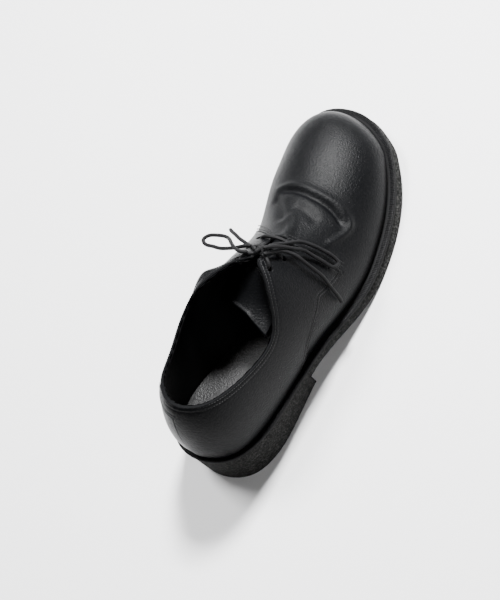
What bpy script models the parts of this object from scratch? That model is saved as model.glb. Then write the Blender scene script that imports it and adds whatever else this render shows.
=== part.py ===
"""Right derby shoe: hollow upper with its overlays, tongue, insole, welt, rubber outsole and laces.

The last is a net of sections. Each section runs from the feather line up the wall and over the
shoulder to the ridge, and smooth splines through the net give the surface that the upper follows.
"""
import bmesh
import bpy
import numpy as np

# The last: overall sizes
LAST_LENGTH = 0.285
BALL_WIDTH = 0.0945
INSTEP_HEIGHT = 0.070
FEATHER_SWELL = 0.006

# The sole: overall sizes
OUTSOLE_THICKNESS = 0.0072
OUTSOLE_FLARE = 0.0016
OUTSOLE_INSET = 0.0008
TOE_SPRING = 0.0125
WAIST_LIFT = 0.0155
HEEL_RISE = 0.0108
HEEL_LENGTH = 0.0865
HEEL_TAPER = 0.0035
BREAST_LEDGE = 0.0016
BREAST_SHARES = (-0.0015, -0.0005, 0.0005, 0.0015)
BREAST_CLEAR = 0.008
LEDGE_HEIGHT = 0.0090
FOREFOOT_FLAT = 0.018
WELT_THICKNESS = 0.0034
WELT_FORE = 0.0062
WELT_HEEL = 0.0048
WELT_TUCK = 0.009
WELT_EDGE_RADIUS = 0.0012
WELT_EDGE_SHARE = 0.3
INSOLE_THICKNESS = 0.0030
INSOLE_CLEARANCE = 0.0012

# The upper: overall sizes
WALL = 0.0022
QUARTER_STEP = 0.0012
BACK_STEP = 0.0008
GAP = 0.0003
THROAT_GAP = 0.0100
THROAT_TOP_GAP = 0.0030
EYELET_DIAMETER = 0.0046
EYELET_COUNT = 3
EYELET_FIRST_ROW = 5.63
EYELET_PITCH = 0.0160
EYELET_INSET = 0.0118
EYELET_LINE = 0.74
PUNCH_REACH = 0.006
# The soft swell of the inner quarter below the collar's rim.
SWELL_HEIGHT = 0.0065
SWELL_ROW = 4.9
SWELL_ROWS = 0.55
SWELL_END_ROW = 5.6
SWELL_BELOW_RIM = 0.10
SWELL_WAYS = 0.068

# The tongue
TONGUE_THICKNESS = 0.0018
TONGUE_FRONT_ROW = 7.4
TONGUE_BEND_ROW = 6.2
TONGUE_END_ROW = 4.35
TONGUE_HALF_WAY = 0.30
TONGUE_DROP = 0.029

# The laces
LACE_DIAMETER = 0.0028
KNOT_ROW = 5.87
KNOT_ACROSS = 0.012
KNOT_SIZE = (0.0094, 0.0072, 0.0066)
CORD_STEP = 0.0062
# The routes of the bow's two loops and of the lace's two ends, from the knot, in metres.
BOW_ROUTES = {
    "lace_loop_outer": [
        (0.0155, -0.0040, 0.1000), (0.0165, 0.0005, 0.0975), (0.0185, 0.0045, 0.0930),
        (0.0210, 0.0080, 0.0880), (0.0235, 0.0120, 0.0830), (0.0260, 0.0155, 0.0775),
        (0.0300, 0.0170, 0.0720), (0.0340, 0.0180, 0.0660), (0.0390, 0.0180, 0.0600),
        (0.0430, 0.0175, 0.0545), (0.0460, 0.0150, 0.0510), (0.0450, 0.0110, 0.0530),
        (0.0410, 0.0100, 0.0595), (0.0370, 0.0100, 0.0665), (0.0340, 0.0100, 0.0720),
        (0.0310, 0.0095, 0.0785), (0.0285, 0.0070, 0.0845), (0.0255, 0.0045, 0.0910),
        (0.0225, 0.0015, 0.0975), (0.0200, -0.0020, 0.1030), (0.0165, -0.0050, 0.1060),
    ],
    "lace_end_outer": [
        (0.0175, -0.0085, 0.1035), (0.0195, -0.0055, 0.1005), (0.0220, -0.0015, 0.0955),
        (0.0245, 0.0010, 0.0915), (0.0280, 0.0020, 0.0880), (0.0320, 0.0020, 0.0840),
        (0.0360, 0.0010, 0.0785), (0.0405, 0.0000, 0.0700), (0.0445, -0.0010, 0.0610),
        (0.0475, -0.0035, 0.0525), (0.0500, -0.0055, 0.0445), (0.0515, -0.0075, 0.0345),
    ],
    "lace_loop_inner": [
        (0.0070, -0.0050, 0.1055), (0.0000, -0.0060, 0.1035), (-0.0075, -0.0075, 0.1005),
        (-0.0150, -0.0080, 0.0970), (-0.0250, -0.0085, 0.0935), (-0.0340, -0.0075, 0.0910),
        (-0.0410, -0.0065, 0.0895), (-0.0440, -0.0035, 0.0890), (-0.0415, 0.0000, 0.0890),
        (-0.0365, 0.0015, 0.0895), (-0.0305, 0.0020, 0.0905), (-0.0230, 0.0010, 0.0930),
        (-0.0170, -0.0020, 0.0970), (-0.0120, -0.0055, 0.1010), (-0.0060, -0.0090, 0.1040),
        (0.0000, -0.0110, 0.1055), (0.0060, -0.0100, 0.1050),
    ],
    "lace_end_inner": [
        (0.0073, -0.0048, 0.1012), (0.0020, -0.0035, 0.1000), (-0.0050, -0.0010, 0.0980),
        (-0.0115, 0.0015, 0.0955), (-0.0175, 0.0045, 0.0925), (-0.0230, 0.0070, 0.0895),
        (-0.0275, 0.0095, 0.0870),
    ],
}


def table(columns, rows):
    """Return the rows as one array for each named column."""
    return dict(zip(columns.split(), np.array(rows, float).T))


# Steps of the net from the feather line to the ridge
HALF_NET = 8

# One row for each section from the back of the heel to the corner of the toe.
# station: along the last. medial, lateral: feather line, in ball widths. swell: the wall's pull outward
# on each side, in swells. up: its pull upward, in instep heights. inner, outer: the shoulder's half
# widths, in ball widths. along, shift, top: the ridge, in last lengths, ball widths, instep heights.
SECTIONS = table("station medial lateral swell_in swell_out up inner outer along shift top", [
    (0.000, -0.084, -0.084, 1.00, 1.00, 0.42, 0.37, 0.37, 0.161, -0.050, 1.20),
    (0.023, -0.300, 0.151, 0.60, 1.00, 0.42, 0.25, 0.35, 0.161, -0.050, 1.20),
    (0.093, -0.415, 0.286, 0.80, 1.00, 0.42, 0.23, 0.32, 0.171, -0.050, 1.20),
    (0.198, -0.384, 0.345, 1.50, 1.10, 0.42, 0.34, 0.30, 0.211, -0.035, 1.20),
    (0.303, -0.293, 0.381, 2.50, 1.60, 0.42, 0.57, 0.24, 0.307, 0.040, 1.24),
    (0.391, -0.260, 0.429, 2.70, 2.00, 0.42, 0.42, 0.17, 0.396, 0.100, 1.27),
    (0.479, -0.299, 0.483, 2.00, 1.80, 0.38, 0.39, 0.16, 0.482, 0.100, 1.13),
    (0.567, -0.382, 0.512, 1.40, 1.20, 0.34, 0.33, 0.185, 0.573, 0.075, 0.91),
    (0.655, -0.466, 0.506, 1.00, 1.00, 0.32, 0.30, 0.24, 0.667, 0.020, 0.765),
    (0.742, -0.523, 0.474, 0.90, 0.90, 0.30, 0.315, 0.285, 0.755, -0.040, 0.670),
    (0.806, -0.534, 0.428, 0.80, 0.90, 0.27, 0.29, 0.31, 0.834, -0.092, 0.595),
    (0.854, -0.531, 0.378, 0.70, 0.90, 0.24, 0.28, 0.31, 0.907, -0.130, 0.490),
    (0.886, -0.519, 0.335, 0.60, 0.90, 0.19, 0.26, 0.30, 0.963, -0.158, 0.345),
    (0.909, -0.507, 0.297, 0.60, 0.80, 0.11, 0.23, 0.27, 0.992, -0.172, 0.170),
    (0.926, -0.496, 0.267, 0.00, 0.00, 0.00, 0.00, 0.00, 1.000, -0.177, 0.000),
])
# The feather line round the toe, from the lateral corner over the tip to the medial corner.
TOE_ARC = table("station across", [
    (0.957, 0.170), (0.982, 0.063), (1.000, -0.177), (0.982, -0.374), (0.957, -0.444),
])
# The collar's rim on each side, as the share of the way from the feather line to the ridge.
COLLAR = table("row medial lateral", [
    (0.0, 0.665, 0.665), (0.6, 0.660, 0.640), (1.2, 0.630, 0.605), (2.0, 0.560, 0.550), (3.0, 0.555, 0.475),
    (3.6, 0.550, 0.450), (4.1, 0.575, 0.480), (4.6, 0.675, 0.575), (5.1, 0.765, 0.700), (5.45, 0.850, 0.815),
    (5.75, 0.965, 0.965),
])
FACING_TOP_ROW = 5.75
FACING_FRONT_ROW = 6.85
# The seam of quarter and vamp: the share of the way from the feather line to the rim or facing.
SEAM = table("row way", [
    (0.0, 0.300), (2.0, 0.220), (3.4, 0.080), (3.9, 0.035), (4.1, 0.110), (4.4, 0.250), (4.8, 0.320),
    (5.2, 0.350), (6.0, 0.355), (6.85, 0.355), (8.0, 0.345), (14.0, 0.330),
])
SEAM_START_ROW = 3.9
TAB_ROW = 1.25
TAB_WAY = 0.78
RIM_COLUMN_WAY = 0.89
# Half widths of an overlay's step, in rows and in shares of the way.
STEP_ROWS = 0.015
STEP_WAYS = 0.008
BALL_STATION = 0.660


def smooth(t):
    """Return 3t^2 - 2t^3, held between 0 and 1."""
    t = np.clip(t, 0.0, 1.0)
    return t * t * (3.0 - 2.0 * t)


def curvature_matrix(knots, closed):
    """Return the matrix that turns values at knots into a cubic spline's second derivatives."""
    count = len(knots) - 1 if closed else len(knots)
    left = np.zeros((count, count))
    right = np.zeros((count, count))
    steps = np.diff(knots)
    for i in range(count):
        if not closed and i in (0, count - 1):
            left[i, i] = 1.0
            continue
        before, after = steps[i - 1], steps[i % len(steps)]
        previous, following = (i - 1) % count, (i + 1) % count
        left[i, previous] += before
        left[i, i] += 2.0 * (before + after)
        left[i, following] += after
        right[i, previous] += 6.0 / before
        right[i, i] -= 6.0 / before + 6.0 / after
        right[i, following] += 6.0 / after
    return np.linalg.solve(left, right)


def spline_weights(knots, at, closed=False):
    """Return one row of weights for each place, so that weights @ values is the cubic spline."""
    knots, at = np.asarray(knots, float), np.asarray(at, float)
    bend = curvature_matrix(knots, closed)
    count = bend.shape[0]
    i = np.clip(np.searchsorted(knots, at, side="right") - 1, 0, len(knots) - 2)
    step = knots[i + 1] - knots[i]
    a = (knots[i + 1] - at) / step
    b = 1.0 - a
    one = np.eye(count)
    low, high = i % count, (i + 1) % count
    third = (step ** 2 / 6.0)[:, None]
    return (a[:, None] * one[low] + b[:, None] * one[high]
            + (a ** 3 - a)[:, None] * third * bend[low] + (b ** 3 - b)[:, None] * third * bend[high])


# The sole's heights along the shoe

def station(share):
    return share * LAST_LENGTH


BREAST = HEEL_LENGTH - WELT_HEEL
FLAT_BACK = station(BALL_STATION) - FOREFOOT_FLAT / 2
FLAT_FRONT = station(BALL_STATION) + FOREFOOT_FLAT / 2


def ground_line(y):
    """Return the tread's height in front of the heel: arch, flat spot and toe spring."""
    arch = WAIST_LIFT * smooth((FLAT_BACK - y) / (FLAT_BACK - BREAST))
    spring = TOE_SPRING * np.clip((y - FLAT_FRONT) / (LAST_LENGTH - FLAT_FRONT), 0, None) ** 1.9
    return arch + spring


def outsole_top(y):
    """Return the height of the outsole's upper face, which rises along the heel seat."""
    return ground_line(y) + OUTSOLE_THICKNESS + HEEL_RISE * np.clip((BREAST - y) / BREAST, 0, None)


def welt_top(y):
    return outsole_top(y) + GAP + WELT_THICKNESS


def foot_height(y):
    """Return the height of the upper's lower edge, just clear of the welt."""
    return welt_top(y) + GAP


# The feather line and the outlines that follow it

def feather_knots():
    """Return the closed feather line's points: back, lateral side, toe, medial side, back."""
    rows = SECTIONS
    x = np.concatenate([rows["lateral"], TOE_ARC["across"], rows["medial"][:0:-1]])
    y = np.concatenate([rows["station"], TOE_ARC["station"], rows["station"][:0:-1]])
    points = np.column_stack([x * BALL_WIDTH, station(y)])
    return np.vstack([points, points[:1]])


def feather_spline():
    points = feather_knots()
    knots = np.concatenate([[0.0], np.cumsum(np.linalg.norm(np.diff(points, axis=0), axis=1))])
    return knots, points


def feather_line(at):
    """Return the feather line's plan points at the given lengths along it."""
    knots, points = feather_spline()
    return spline_weights(knots, at, closed=True) @ points[:-1]


def outline(offset_heel, offset_fore, count=240):
    """Return the feather line moved outward, as a closed loop that starts at the back."""
    knots, _ = feather_spline()
    at = np.linspace(0.0, knots[-1], count, endpoint=False)
    loop = feather_line(at)
    along = np.roll(loop, -1, 0) - np.roll(loop, 1, 0)
    along /= np.linalg.norm(along, axis=1)[:, None]
    outward = np.column_stack([along[:, 1], -along[:, 0]])
    share = smooth((loop[:, 1] - station(0.25)) / station(0.45))
    offset = offset_heel + (offset_fore - offset_heel) * share
    return loop + outward * offset[:, None]


def sole_centre():
    """Return the middle of the sole's box in plan, which is the part's origin."""
    tread = outline(WELT_HEEL - OUTSOLE_INSET, WELT_FORE + OUTSOLE_FLARE)
    band = outline(WELT_HEEL, WELT_FORE)
    low, high = np.minimum(tread.min(0), band.min(0)), np.maximum(tread.max(0), band.max(0))
    return (low + high) / 2


CENTRE = sole_centre()


# The last's surface

def section_net():
    """Return the net: for each side, section and step across, one point from feather to ridge."""
    rows = len(SECTIONS["station"])
    knots, points = feather_spline()
    loop = feather_line(np.linspace(0, knots[-1], 720, endpoint=False))
    ahead = np.roll(loop, -1, 0) - np.roll(loop, 1, 0)
    net = np.zeros((2, rows, HALF_NET + 1, 3))
    t = np.linspace(0.0, 1.0, HALF_NET + 1)[:, None]
    for side, sign in enumerate((-1.0, 1.0)):
        for i in range(rows):
            index = i if side else (len(points) - 1 - i)
            foot = points[index]
            base = foot_height(foot[1])
            near = np.linalg.norm(loop - foot, axis=1).argmin()
            outward = np.array([ahead[near, 1], -ahead[near, 0]]) / np.linalg.norm(ahead[near])
            p0 = np.array([foot[0], foot[1], base])
            ridge = np.array([SECTIONS["shift"][i] * BALL_WIDTH, station(SECTIONS["along"][i]), 0.0])
            ridge[2] = foot_height(ridge[1]) + SECTIONS["top"][i] * INSTEP_HEIGHT
            level = outward if i < 3 else np.array([sign, 0.0])
            pull = SECTIONS[("swell_in", "swell_out")[side]][i] * FEATHER_SWELL
            p1 = p0 + np.array([*(outward * pull), SECTIONS["up"][i] * INSTEP_HEIGHT])
            p2 = ridge + np.array([*(level * SECTIONS[("inner", "outer")[side]][i] * BALL_WIDTH), 0.0])
            net[side, i] = ((1 - t) ** 3 * p0 + 3 * (1 - t) ** 2 * t * p1
                            + 3 * (1 - t) * t ** 2 * p2 + t ** 3 * ridge)
        corner = rows - 1
        tip = rows + len(TOE_ARC["station"]) // 2
        first, last = (corner, tip) if side else (len(points) - 1 - corner, tip)
        arc = feather_line(np.linspace(knots[first], knots[last], HALF_NET + 1))
        net[side, corner] = np.column_stack([arc, foot_height(arc[:, 1])])
    return net


NET = section_net()
LAST_ROW = NET.shape[1] - 1


def last_surface(row, way, sign):
    """Return points of the last at section numbers, shares of the way to the ridge, and sides."""
    row, way, sign = (np.ravel(a) for a in np.broadcast_arrays(row, way, sign))
    loop = np.concatenate([NET[0, :0:-1], NET[1]])
    at = np.arange(-LAST_ROW, LAST_ROW + 1)
    lateral = np.einsum("pr,rjc->pjc", spline_weights(at, row), loop)
    medial = np.einsum("pr,rjc->pjc", spline_weights(at, -row), loop)
    across = np.concatenate([medial, lateral[:, -2::-1]], axis=1)
    place = sign * (1.0 - way) * HALF_NET
    weights = spline_weights(np.arange(-HALF_NET, HALF_NET + 1), place)
    return np.einsum("pj,pjc->pc", weights, across)


def facing_way(row, sign):
    """Return the way of a facing's edge, half the throat's gap from the ridge."""
    row = np.minimum(row, FACING_FRONT_ROW)
    share = np.clip((row - FACING_TOP_ROW) / (FACING_FRONT_ROW - FACING_TOP_ROW), 0, 1)
    gap = THROAT_TOP_GAP + (THROAT_GAP - THROAT_TOP_GAP) * share
    shoulder = SECTIONS["inner" if sign < 0 else "outer"] * BALL_WIDTH
    return 1.0 - gap / 2 / (3.0 * np.interp(row, np.arange(LAST_ROW + 1), shoulder))


def rim_way(row, sign):
    """Return the way at which the upper ends: its collar's rim, then its facing's edge."""
    side = COLLAR["medial"] if sign < 0 else COLLAR["lateral"]
    rim = spline_weights(COLLAR["row"], np.minimum(row, FACING_TOP_ROW)) @ side
    facing = facing_way(row, sign)
    return np.where(row < FACING_TOP_ROW, np.minimum(rim, facing), facing)


# The upper: mesh

def stops(*parts):
    """Return the numbers from each part's start up to its end, in the part's count of steps."""
    runs = [np.linspace(start, end, count, endpoint=False) for start, end, count in parts]
    return np.concatenate(runs + [[parts[-1][1]]])


def upper_rows():
    """Return the rows of the upper's mesh, with two close together at each step of its overlays."""
    return stops((0.0, 2 * STEP_ROWS, 1), (2 * STEP_ROWS, TAB_ROW, 4), (TAB_ROW, TAB_ROW + 2 * STEP_ROWS, 1),
                 (TAB_ROW + 2 * STEP_ROWS, SEAM_START_ROW - STEP_ROWS, 7),
                 (SEAM_START_ROW - STEP_ROWS, SEAM_START_ROW + STEP_ROWS, 1),
                 (SEAM_START_ROW + STEP_ROWS, FACING_TOP_ROW, 10),
                 (FACING_TOP_ROW, FACING_FRONT_ROW - STEP_ROWS, 6),
                 (FACING_FRONT_ROW - STEP_ROWS, FACING_FRONT_ROW + STEP_ROWS, 1),
                 (FACING_FRONT_ROW + STEP_ROWS, LAST_ROW, 18))


def column_ways(row):
    """Return for each row the shares of the way at which the columns run, past seam and tab."""
    seam = spline_weights(SEAM["row"], row) @ SEAM["way"]
    below = [seam * share for share in (0.0, 0.35, 0.7)] + [seam - STEP_WAYS, seam + STEP_WAYS]
    above = [seam + STEP_WAYS + (TAB_WAY - seam - 2 * STEP_WAYS) * share for share in (0.25, 0.5, 0.75)]
    top = [way + 0 * seam for way in (TAB_WAY - STEP_WAYS, TAB_WAY + STEP_WAYS, RIM_COLUMN_WAY, 1.0)]
    return np.stack(below + above + top, axis=1)


def collar_swell(row, below_rim, sign):
    """Return the inner quarter's swell: a bell along the rows times a bell below the rim."""
    below = (SWELL_BELOW_RIM - below_rim) / SWELL_WAYS
    along = (row - SWELL_ROW) / SWELL_ROWS
    fade = smooth((SWELL_END_ROW - row) / (SWELL_END_ROW - SWELL_ROW))
    return np.where(sign < 0, SWELL_HEIGHT * fade * np.exp(-below ** 2 - along ** 2), 0.0)


SEAM_COLUMN = 4
TAB_COLUMN = 9


def upper_grid():
    """Return the upper's rows and, for each side, its nodes' rows, ways, raised heights and swell."""
    rows = upper_rows()
    ways = column_ways(rows)
    count = ways.shape[1]
    sides = []
    for sign in (-1.0, 1.0):
        rim = rim_way(rows, sign)[:, None]
        way = ways * rim
        row = np.repeat(rows[:, None], count, axis=1)
        column = np.arange(count)[None, :]
        quarter = (row < FACING_FRONT_ROW) & ((column >= SEAM_COLUMN) | (row < SEAM_START_ROW))
        raised = np.where(quarter, QUARTER_STEP, 0.0)
        fade = BACK_STEP * (1.0 - smooth(row / 2.0))
        if sign > 0:
            raised = raised + np.where(row > 0.0, fade, np.where(column >= TAB_COLUMN, BACK_STEP, 0.0))
        else:
            tab = (column >= TAB_COLUMN) & (row <= TAB_ROW + 1e-9)
            raised = raised + np.where(tab, BACK_STEP, 0.0)
        sides.append((row, way, raised, collar_swell(row, rim - way, sign)))
    return rows, sides


def mesh_normals(points, faces):
    """Return each point's normal, the sum of its faces' area vectors made unit long."""
    total = np.zeros_like(points)
    for face in faces:
        a, b, c, d = (points[k] for k in face)
        area = np.cross(c - a, d - b)
        for k in face:
            total[k] += area
    return total / np.linalg.norm(total, axis=1)[:, None]


def upper_sheet():
    """Return points, faces, raised heights and swell of the upper's outer skin before any thickness."""
    rows, sides = upper_grid()
    front = int(np.searchsorted(rows, FACING_FRONT_ROW))
    count = sides[0][0].shape[1]
    points, raised, swell, index = [], [], [], {}
    for s, sign in enumerate((-1.0, 1.0)):
        row, way, lift, bulge = sides[s]
        place = last_surface(row, way, sign).reshape(row.shape + (3,))
        for i in range(len(rows)):
            for j in range(count):
                if s and i == 0:
                    index[s, i, j] = index[0, 0, j]
                    continue
                index[s, i, j] = len(points)
                points.append(place[i, j])
                raised.append(lift[i, j])
                swell.append(bulge[i, j])
        for i in range(front, len(rows)):
            half = (1.0 + way[i, -1]) / 2
            index[s, i, count] = len(points)
            points.append(last_surface(row[i, 0], half, sign)[0])
            raised.append(0.0)
            swell.append(0.0)
    for i in range(front, len(rows)):
        index[0, i, count + 1] = index[1, i, count + 1] = len(points)
        points.append(last_surface(rows[i], 1.0, 1.0)[0])
        raised.append(0.0)
        swell.append(0.0)
    faces = []
    for s in (0, 1):
        for i in range(len(rows) - 1):
            across = count + 1 if i >= front else count - 1
            for j in range(across):
                quad = (index[s, i, j], index[s, i + 1, j], index[s, i + 1, j + 1], index[s, i, j + 1])
                faces.append(quad if s else quad[::-1])
    return np.array(points), faces, np.array(raised), np.array(swell)


def boundary_edges(faces):
    """Return the edges that only one face has, each in that face's direction."""
    edges = {(f[k], f[(k + 1) % len(f)]) for f in faces for k in range(len(f))}
    return [(a, b) for a, b in sorted(edges) if (b, a) not in edges]


def thicken(points, faces, outer, inner):
    """Return a closed shell between the sheet moved out by outer and in by inner."""
    normals = mesh_normals(points, faces)
    skin = points + normals * outer[:, None]
    lining = points - normals * inner[:, None]
    foot = points[:, 2] < foot_height(points[:, 1]) + 1e-5
    skin[foot, 2] = lining[foot, 2] = points[foot, 2]
    count = len(points)
    shell = list(faces) + [tuple(k + count for k in reversed(face)) for face in faces]
    shell += [(b, a, a + count, b + count) for a, b in boundary_edges(faces)]
    return np.vstack([skin, lining]), shell


# Objects

def material(name, colour, roughness):
    """Return a plain Principled material."""
    made = bpy.data.materials.new(name)
    made.use_nodes = True
    shader = made.node_tree.nodes["Principled BSDF"]
    shader.inputs["Base Color"].default_value = (*colour, 1.0)
    shader.inputs["Roughness"].default_value = roughness
    shader.inputs["Metallic"].default_value = 0.0
    made.diffuse_color = (*colour, 1.0)
    return made


def add_object(name, points, faces, skin):
    """Add a mesh object whose points are given in the last's plan, moved to the part's origin."""
    shift = np.array([CENTRE[0], CENTRE[1], 0.0])
    mesh = bpy.data.meshes.new(name)
    mesh.from_pydata([tuple(p) for p in np.asarray(points) - shift], [], faces)
    mesh.materials.append(skin)
    whole = bmesh.new()
    whole.from_mesh(mesh)
    bmesh.ops.remove_doubles(whole, verts=whole.verts, dist=1e-6)
    bmesh.ops.recalc_face_normals(whole, faces=whole.faces)
    whole.to_mesh(mesh)
    whole.free()
    made = bpy.data.objects.new(name, mesh)
    bpy.context.scene.collection.objects.link(made)
    return made


def along_loop(loop, share):
    """Return a closed outline's medial and lateral x and its y at shares of its length."""
    low, high = loop[:, 1].argmin(), loop[:, 1].argmax()
    turned = np.roll(loop, -low, axis=0)
    tip = (high - low) % len(loop)
    lateral = turned[:tip + 1]
    medial = np.vstack([turned[tip:], turned[:1]])[::-1]
    y = loop[low, 1] + (loop[high, 1] - loop[low, 1]) * np.asarray(share)
    return np.interp(y, medial[:, 1], medial[:, 0]), np.interp(y, lateral[:, 1], lateral[:, 0]), y


def rungs(count):
    """Return shares of a plate's length, close together at its two round ends."""
    return (1.0 - np.cos(np.linspace(0.0, np.pi, count))) / 2.0


def ladder(layers):
    """Return a closed solid from layers of (medial x, lateral x, y, z), top first, with pointed ends."""
    top = layers[0]
    count = len(top[0])
    points, faces = [], []
    for medial, lateral, y, z in layers:
        points += [(medial[k], y[k], z[k]) for k in range(count)]
    for medial, lateral, y, z in reversed(layers):
        points += [(lateral[k], y[k], z[k]) for k in range(count)]
    around = 2 * len(layers)
    for r in range(around):
        a, b = r * count, ((r + 1) % around) * count
        for k in range(count - 1):
            faces.append((a + k, a + k + 1, b + k + 1, b + k))
    return points, faces


# Sub-parts

def add_outsole(skin):
    """Add the rubber sole: one solid with its heel, a ledge at the breast, an arch and toe spring."""
    top = outline(WELT_HEEL - OUTSOLE_INSET, WELT_FORE - OUTSOLE_INSET)
    tread = outline(WELT_HEEL - OUTSOLE_INSET, WELT_FORE + OUTSOLE_FLARE)
    low, high = tread[:, 1].min(), tread[:, 1].max()
    breast = (BREAST - low) / (high - low)
    shares = rungs(64)
    heel = shares[shares < breast - BREAST_CLEAR]
    fore = shares[shares > breast + BREAST_CLEAR]
    step = breast + np.array(BREAST_SHARES)
    share = np.concatenate([heel, step, fore])
    tread_y = low + (high - low) * share
    front = slice(len(heel), len(heel) + 4)
    tread_y[front] = [BREAST + BREAST_LEDGE, BREAST + BREAST_LEDGE, BREAST, BREAST]
    tread_z = np.concatenate([0 * heel, [0.0, LEDGE_HEIGHT, LEDGE_HEIGHT, ground_line(BREAST)],
                              ground_line(low + (high - low) * fore)])
    medial, lateral, _ = along_loop(tread, (tread_y - low) / (high - low))
    taper = np.where(tread_z < ground_line(BREAST) - 1e-6, HEEL_TAPER, 0.0) * (tread_y < BREAST + 0.002)
    taper = taper * np.clip(tread_y / BREAST, 0, 1)
    face_medial, face_lateral, face_y = along_loop(top, share)
    layers = [(face_medial, face_lateral, face_y, outsole_top(face_y)),
              (medial + taper, lateral - taper, tread_y, tread_z)]
    return add_object("outsole", *ladder(layers), skin)


def add_welt(skin):
    """Add the welt: a band all round between sole and upper, with a rounded outer edge."""
    outer = outline(WELT_HEEL, WELT_FORE, 150)
    edge = outline(WELT_HEEL - WELT_EDGE_RADIUS, WELT_FORE - WELT_EDGE_RADIUS, 150)
    inner = outline(-WELT_TUCK, -WELT_TUCK, 150)
    soft = WELT_EDGE_SHARE * WELT_THICKNESS
    rings = [(inner, GAP), (edge, GAP), (outer, GAP + soft), (outer, GAP + WELT_THICKNESS - soft),
             (edge, GAP + WELT_THICKNESS), (inner, GAP + WELT_THICKNESS)]
    points = np.vstack([np.column_stack([ring, outsole_top(ring[:, 1]) + lift]) for ring, lift in rings])
    count = len(outer)
    faces = []
    for r in range(len(rings)):
        a, b = r * count, ((r + 1) % len(rings)) * count
        for k in range(count):
            n = (k + 1) % count
            faces.append((a + k, a + n, b + n, b + k))
    return add_object("welt", points, faces, skin)


def add_insole(skin):
    """Add the insole: a plate inside the upper's foot, lying on the welt."""
    edge = -(WALL + INSOLE_CLEARANCE)
    loop = outline(edge, edge)
    medial, lateral, y = along_loop(loop, rungs(40))
    base = foot_height(y)
    layers = [(medial, lateral, y, base + INSOLE_THICKNESS), (medial, lateral, y, base)]
    return add_object("insole", *ladder(layers), skin)


def reach(path):
    """Return the length along a path at each of its points."""
    return np.concatenate([[0.0], np.cumsum(np.linalg.norm(np.diff(path, axis=0), axis=1))])


def eyelet_places():
    """Return each eyelet's row, way and side, in a line along the facing at one inset from its edge."""
    rows = np.linspace(EYELET_FIRST_ROW, FACING_FRONT_ROW, 60)
    places = []
    for sign in (-1.0, 1.0):
        along = reach(last_surface(rows, EYELET_LINE, sign))
        for k in range(EYELET_COUNT):
            row = np.interp(k * EYELET_PITCH, along, rows)
            ways = facing_way(row, sign) - np.linspace(0.0, 0.5, 60)
            way = np.interp(EYELET_INSET, reach(last_surface(row, ways, sign)), ways)
            places.append((row, way, sign))
    return places


def surface_normal(row, way, sign):
    """Return the last's outward unit normal at one place."""
    small = 1e-3
    ahead = last_surface(row + small, way, sign)[0] - last_surface(row - small, way, sign)[0]
    up = last_surface(row, way + small, sign)[0] - last_surface(row, way - small, sign)[0]
    normal = np.cross(ahead, up) * sign
    return normal / np.linalg.norm(normal)


def add_eyelet_cutters(skin):
    """Add six short rods, one through each punched hole."""
    sides = 12
    points, faces = [], []
    for row, way, sign in eyelet_places():
        centre = last_surface(row, way, sign)[0]
        normal = surface_normal(row, way, sign)
        first = np.cross(normal, [0.0, 1.0, 0.0])
        first /= np.linalg.norm(first)
        second = np.cross(normal, first)
        start = len(points)
        for depth in (-PUNCH_REACH, PUNCH_REACH):
            for k in range(sides):
                angle = 2 * np.pi * k / sides
                spoke = first * np.cos(angle) + second * np.sin(angle)
                points.append(centre + normal * depth + spoke * EYELET_DIAMETER / 2)
        faces += [(start + k, start + (k + 1) % sides, start + sides + (k + 1) % sides, start + sides + k)
                  for k in range(sides)]
        faces.append(tuple(start + k for k in reversed(range(sides))))
        faces.append(tuple(start + sides + k for k in range(sides)))
    cutter = add_object("eyelet_cutter", points, faces, skin)
    cutter.hide_render = True
    cutter.display_type = "WIRE"
    return cutter


def add_upper(skin):
    """Add the hollow upper with its overlay steps, open at collar, throat and foot, and punch it."""
    points, faces, raised, swell = upper_sheet()
    upper = add_object("upper", *thicken(points, faces, raised + swell, WALL - swell), skin)
    punch = upper.modifiers.new("eyelets", "BOOLEAN")
    punch.operation = "DIFFERENCE"
    punch.solver = "EXACT"
    punch.object = add_eyelet_cutters(skin)
    return upper


def add_tongue(skin):
    """Add the tongue: it lies under the vamp and facings, then sinks into the collar."""
    rows = np.linspace(TONGUE_FRONT_ROW, TONGUE_END_ROW, 22)
    offsets = np.linspace(-TONGUE_HALF_WAY, TONGUE_HALF_WAY, 11)
    row, offset = np.meshgrid(rows, offsets, indexing="ij")
    points = last_surface(row, 1.0 - np.abs(offset), np.where(offset < 0, -1.0, 1.0))
    sink = smooth((TONGUE_BEND_ROW - row.ravel()) / (TONGUE_BEND_ROW - TONGUE_END_ROW))
    points[:, 2] -= TONGUE_DROP * sink
    count = len(offsets)
    faces = [(i * count + j, (i + 1) * count + j, (i + 1) * count + j + 1, i * count + j + 1)
             for i in range(len(rows) - 1) for j in range(count - 1)]
    clear = WALL + 2 * GAP
    normals = mesh_normals(points, faces)
    wall = np.full(len(points), TONGUE_THICKNESS)
    return add_object("tongue", *thicken(points - normals * clear, faces, 0 * wall, wall), skin)


def tube(path, radius, sides=8):
    """Return a closed round tube along a path, as rings square to it with a face at each end."""
    count = len(path)
    along = np.gradient(path, axis=0)
    along /= np.linalg.norm(along, axis=1)[:, None]
    first = np.cross(along, [0.0, 1.0, 0.0])
    first /= np.linalg.norm(first, axis=1)[:, None]
    second = np.cross(along, first)
    angle = 2 * np.pi * np.arange(sides) / sides
    rings = (path[:, None] + radius * (np.cos(angle)[None, :, None] * first[:, None]
                                       + np.sin(angle)[None, :, None] * second[:, None]))
    faces = []
    for i in range(count - 1):
        ring = i * sides
        faces += [(ring + k, ring + (k + 1) % sides, ring + sides + (k + 1) % sides, ring + sides + k)
                  for k in range(sides)]
    faces += [tuple(range(sides))[::-1], tuple((count - 1) * sides + k for k in range(sides))]
    return rings.reshape(-1, 3), faces


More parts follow.
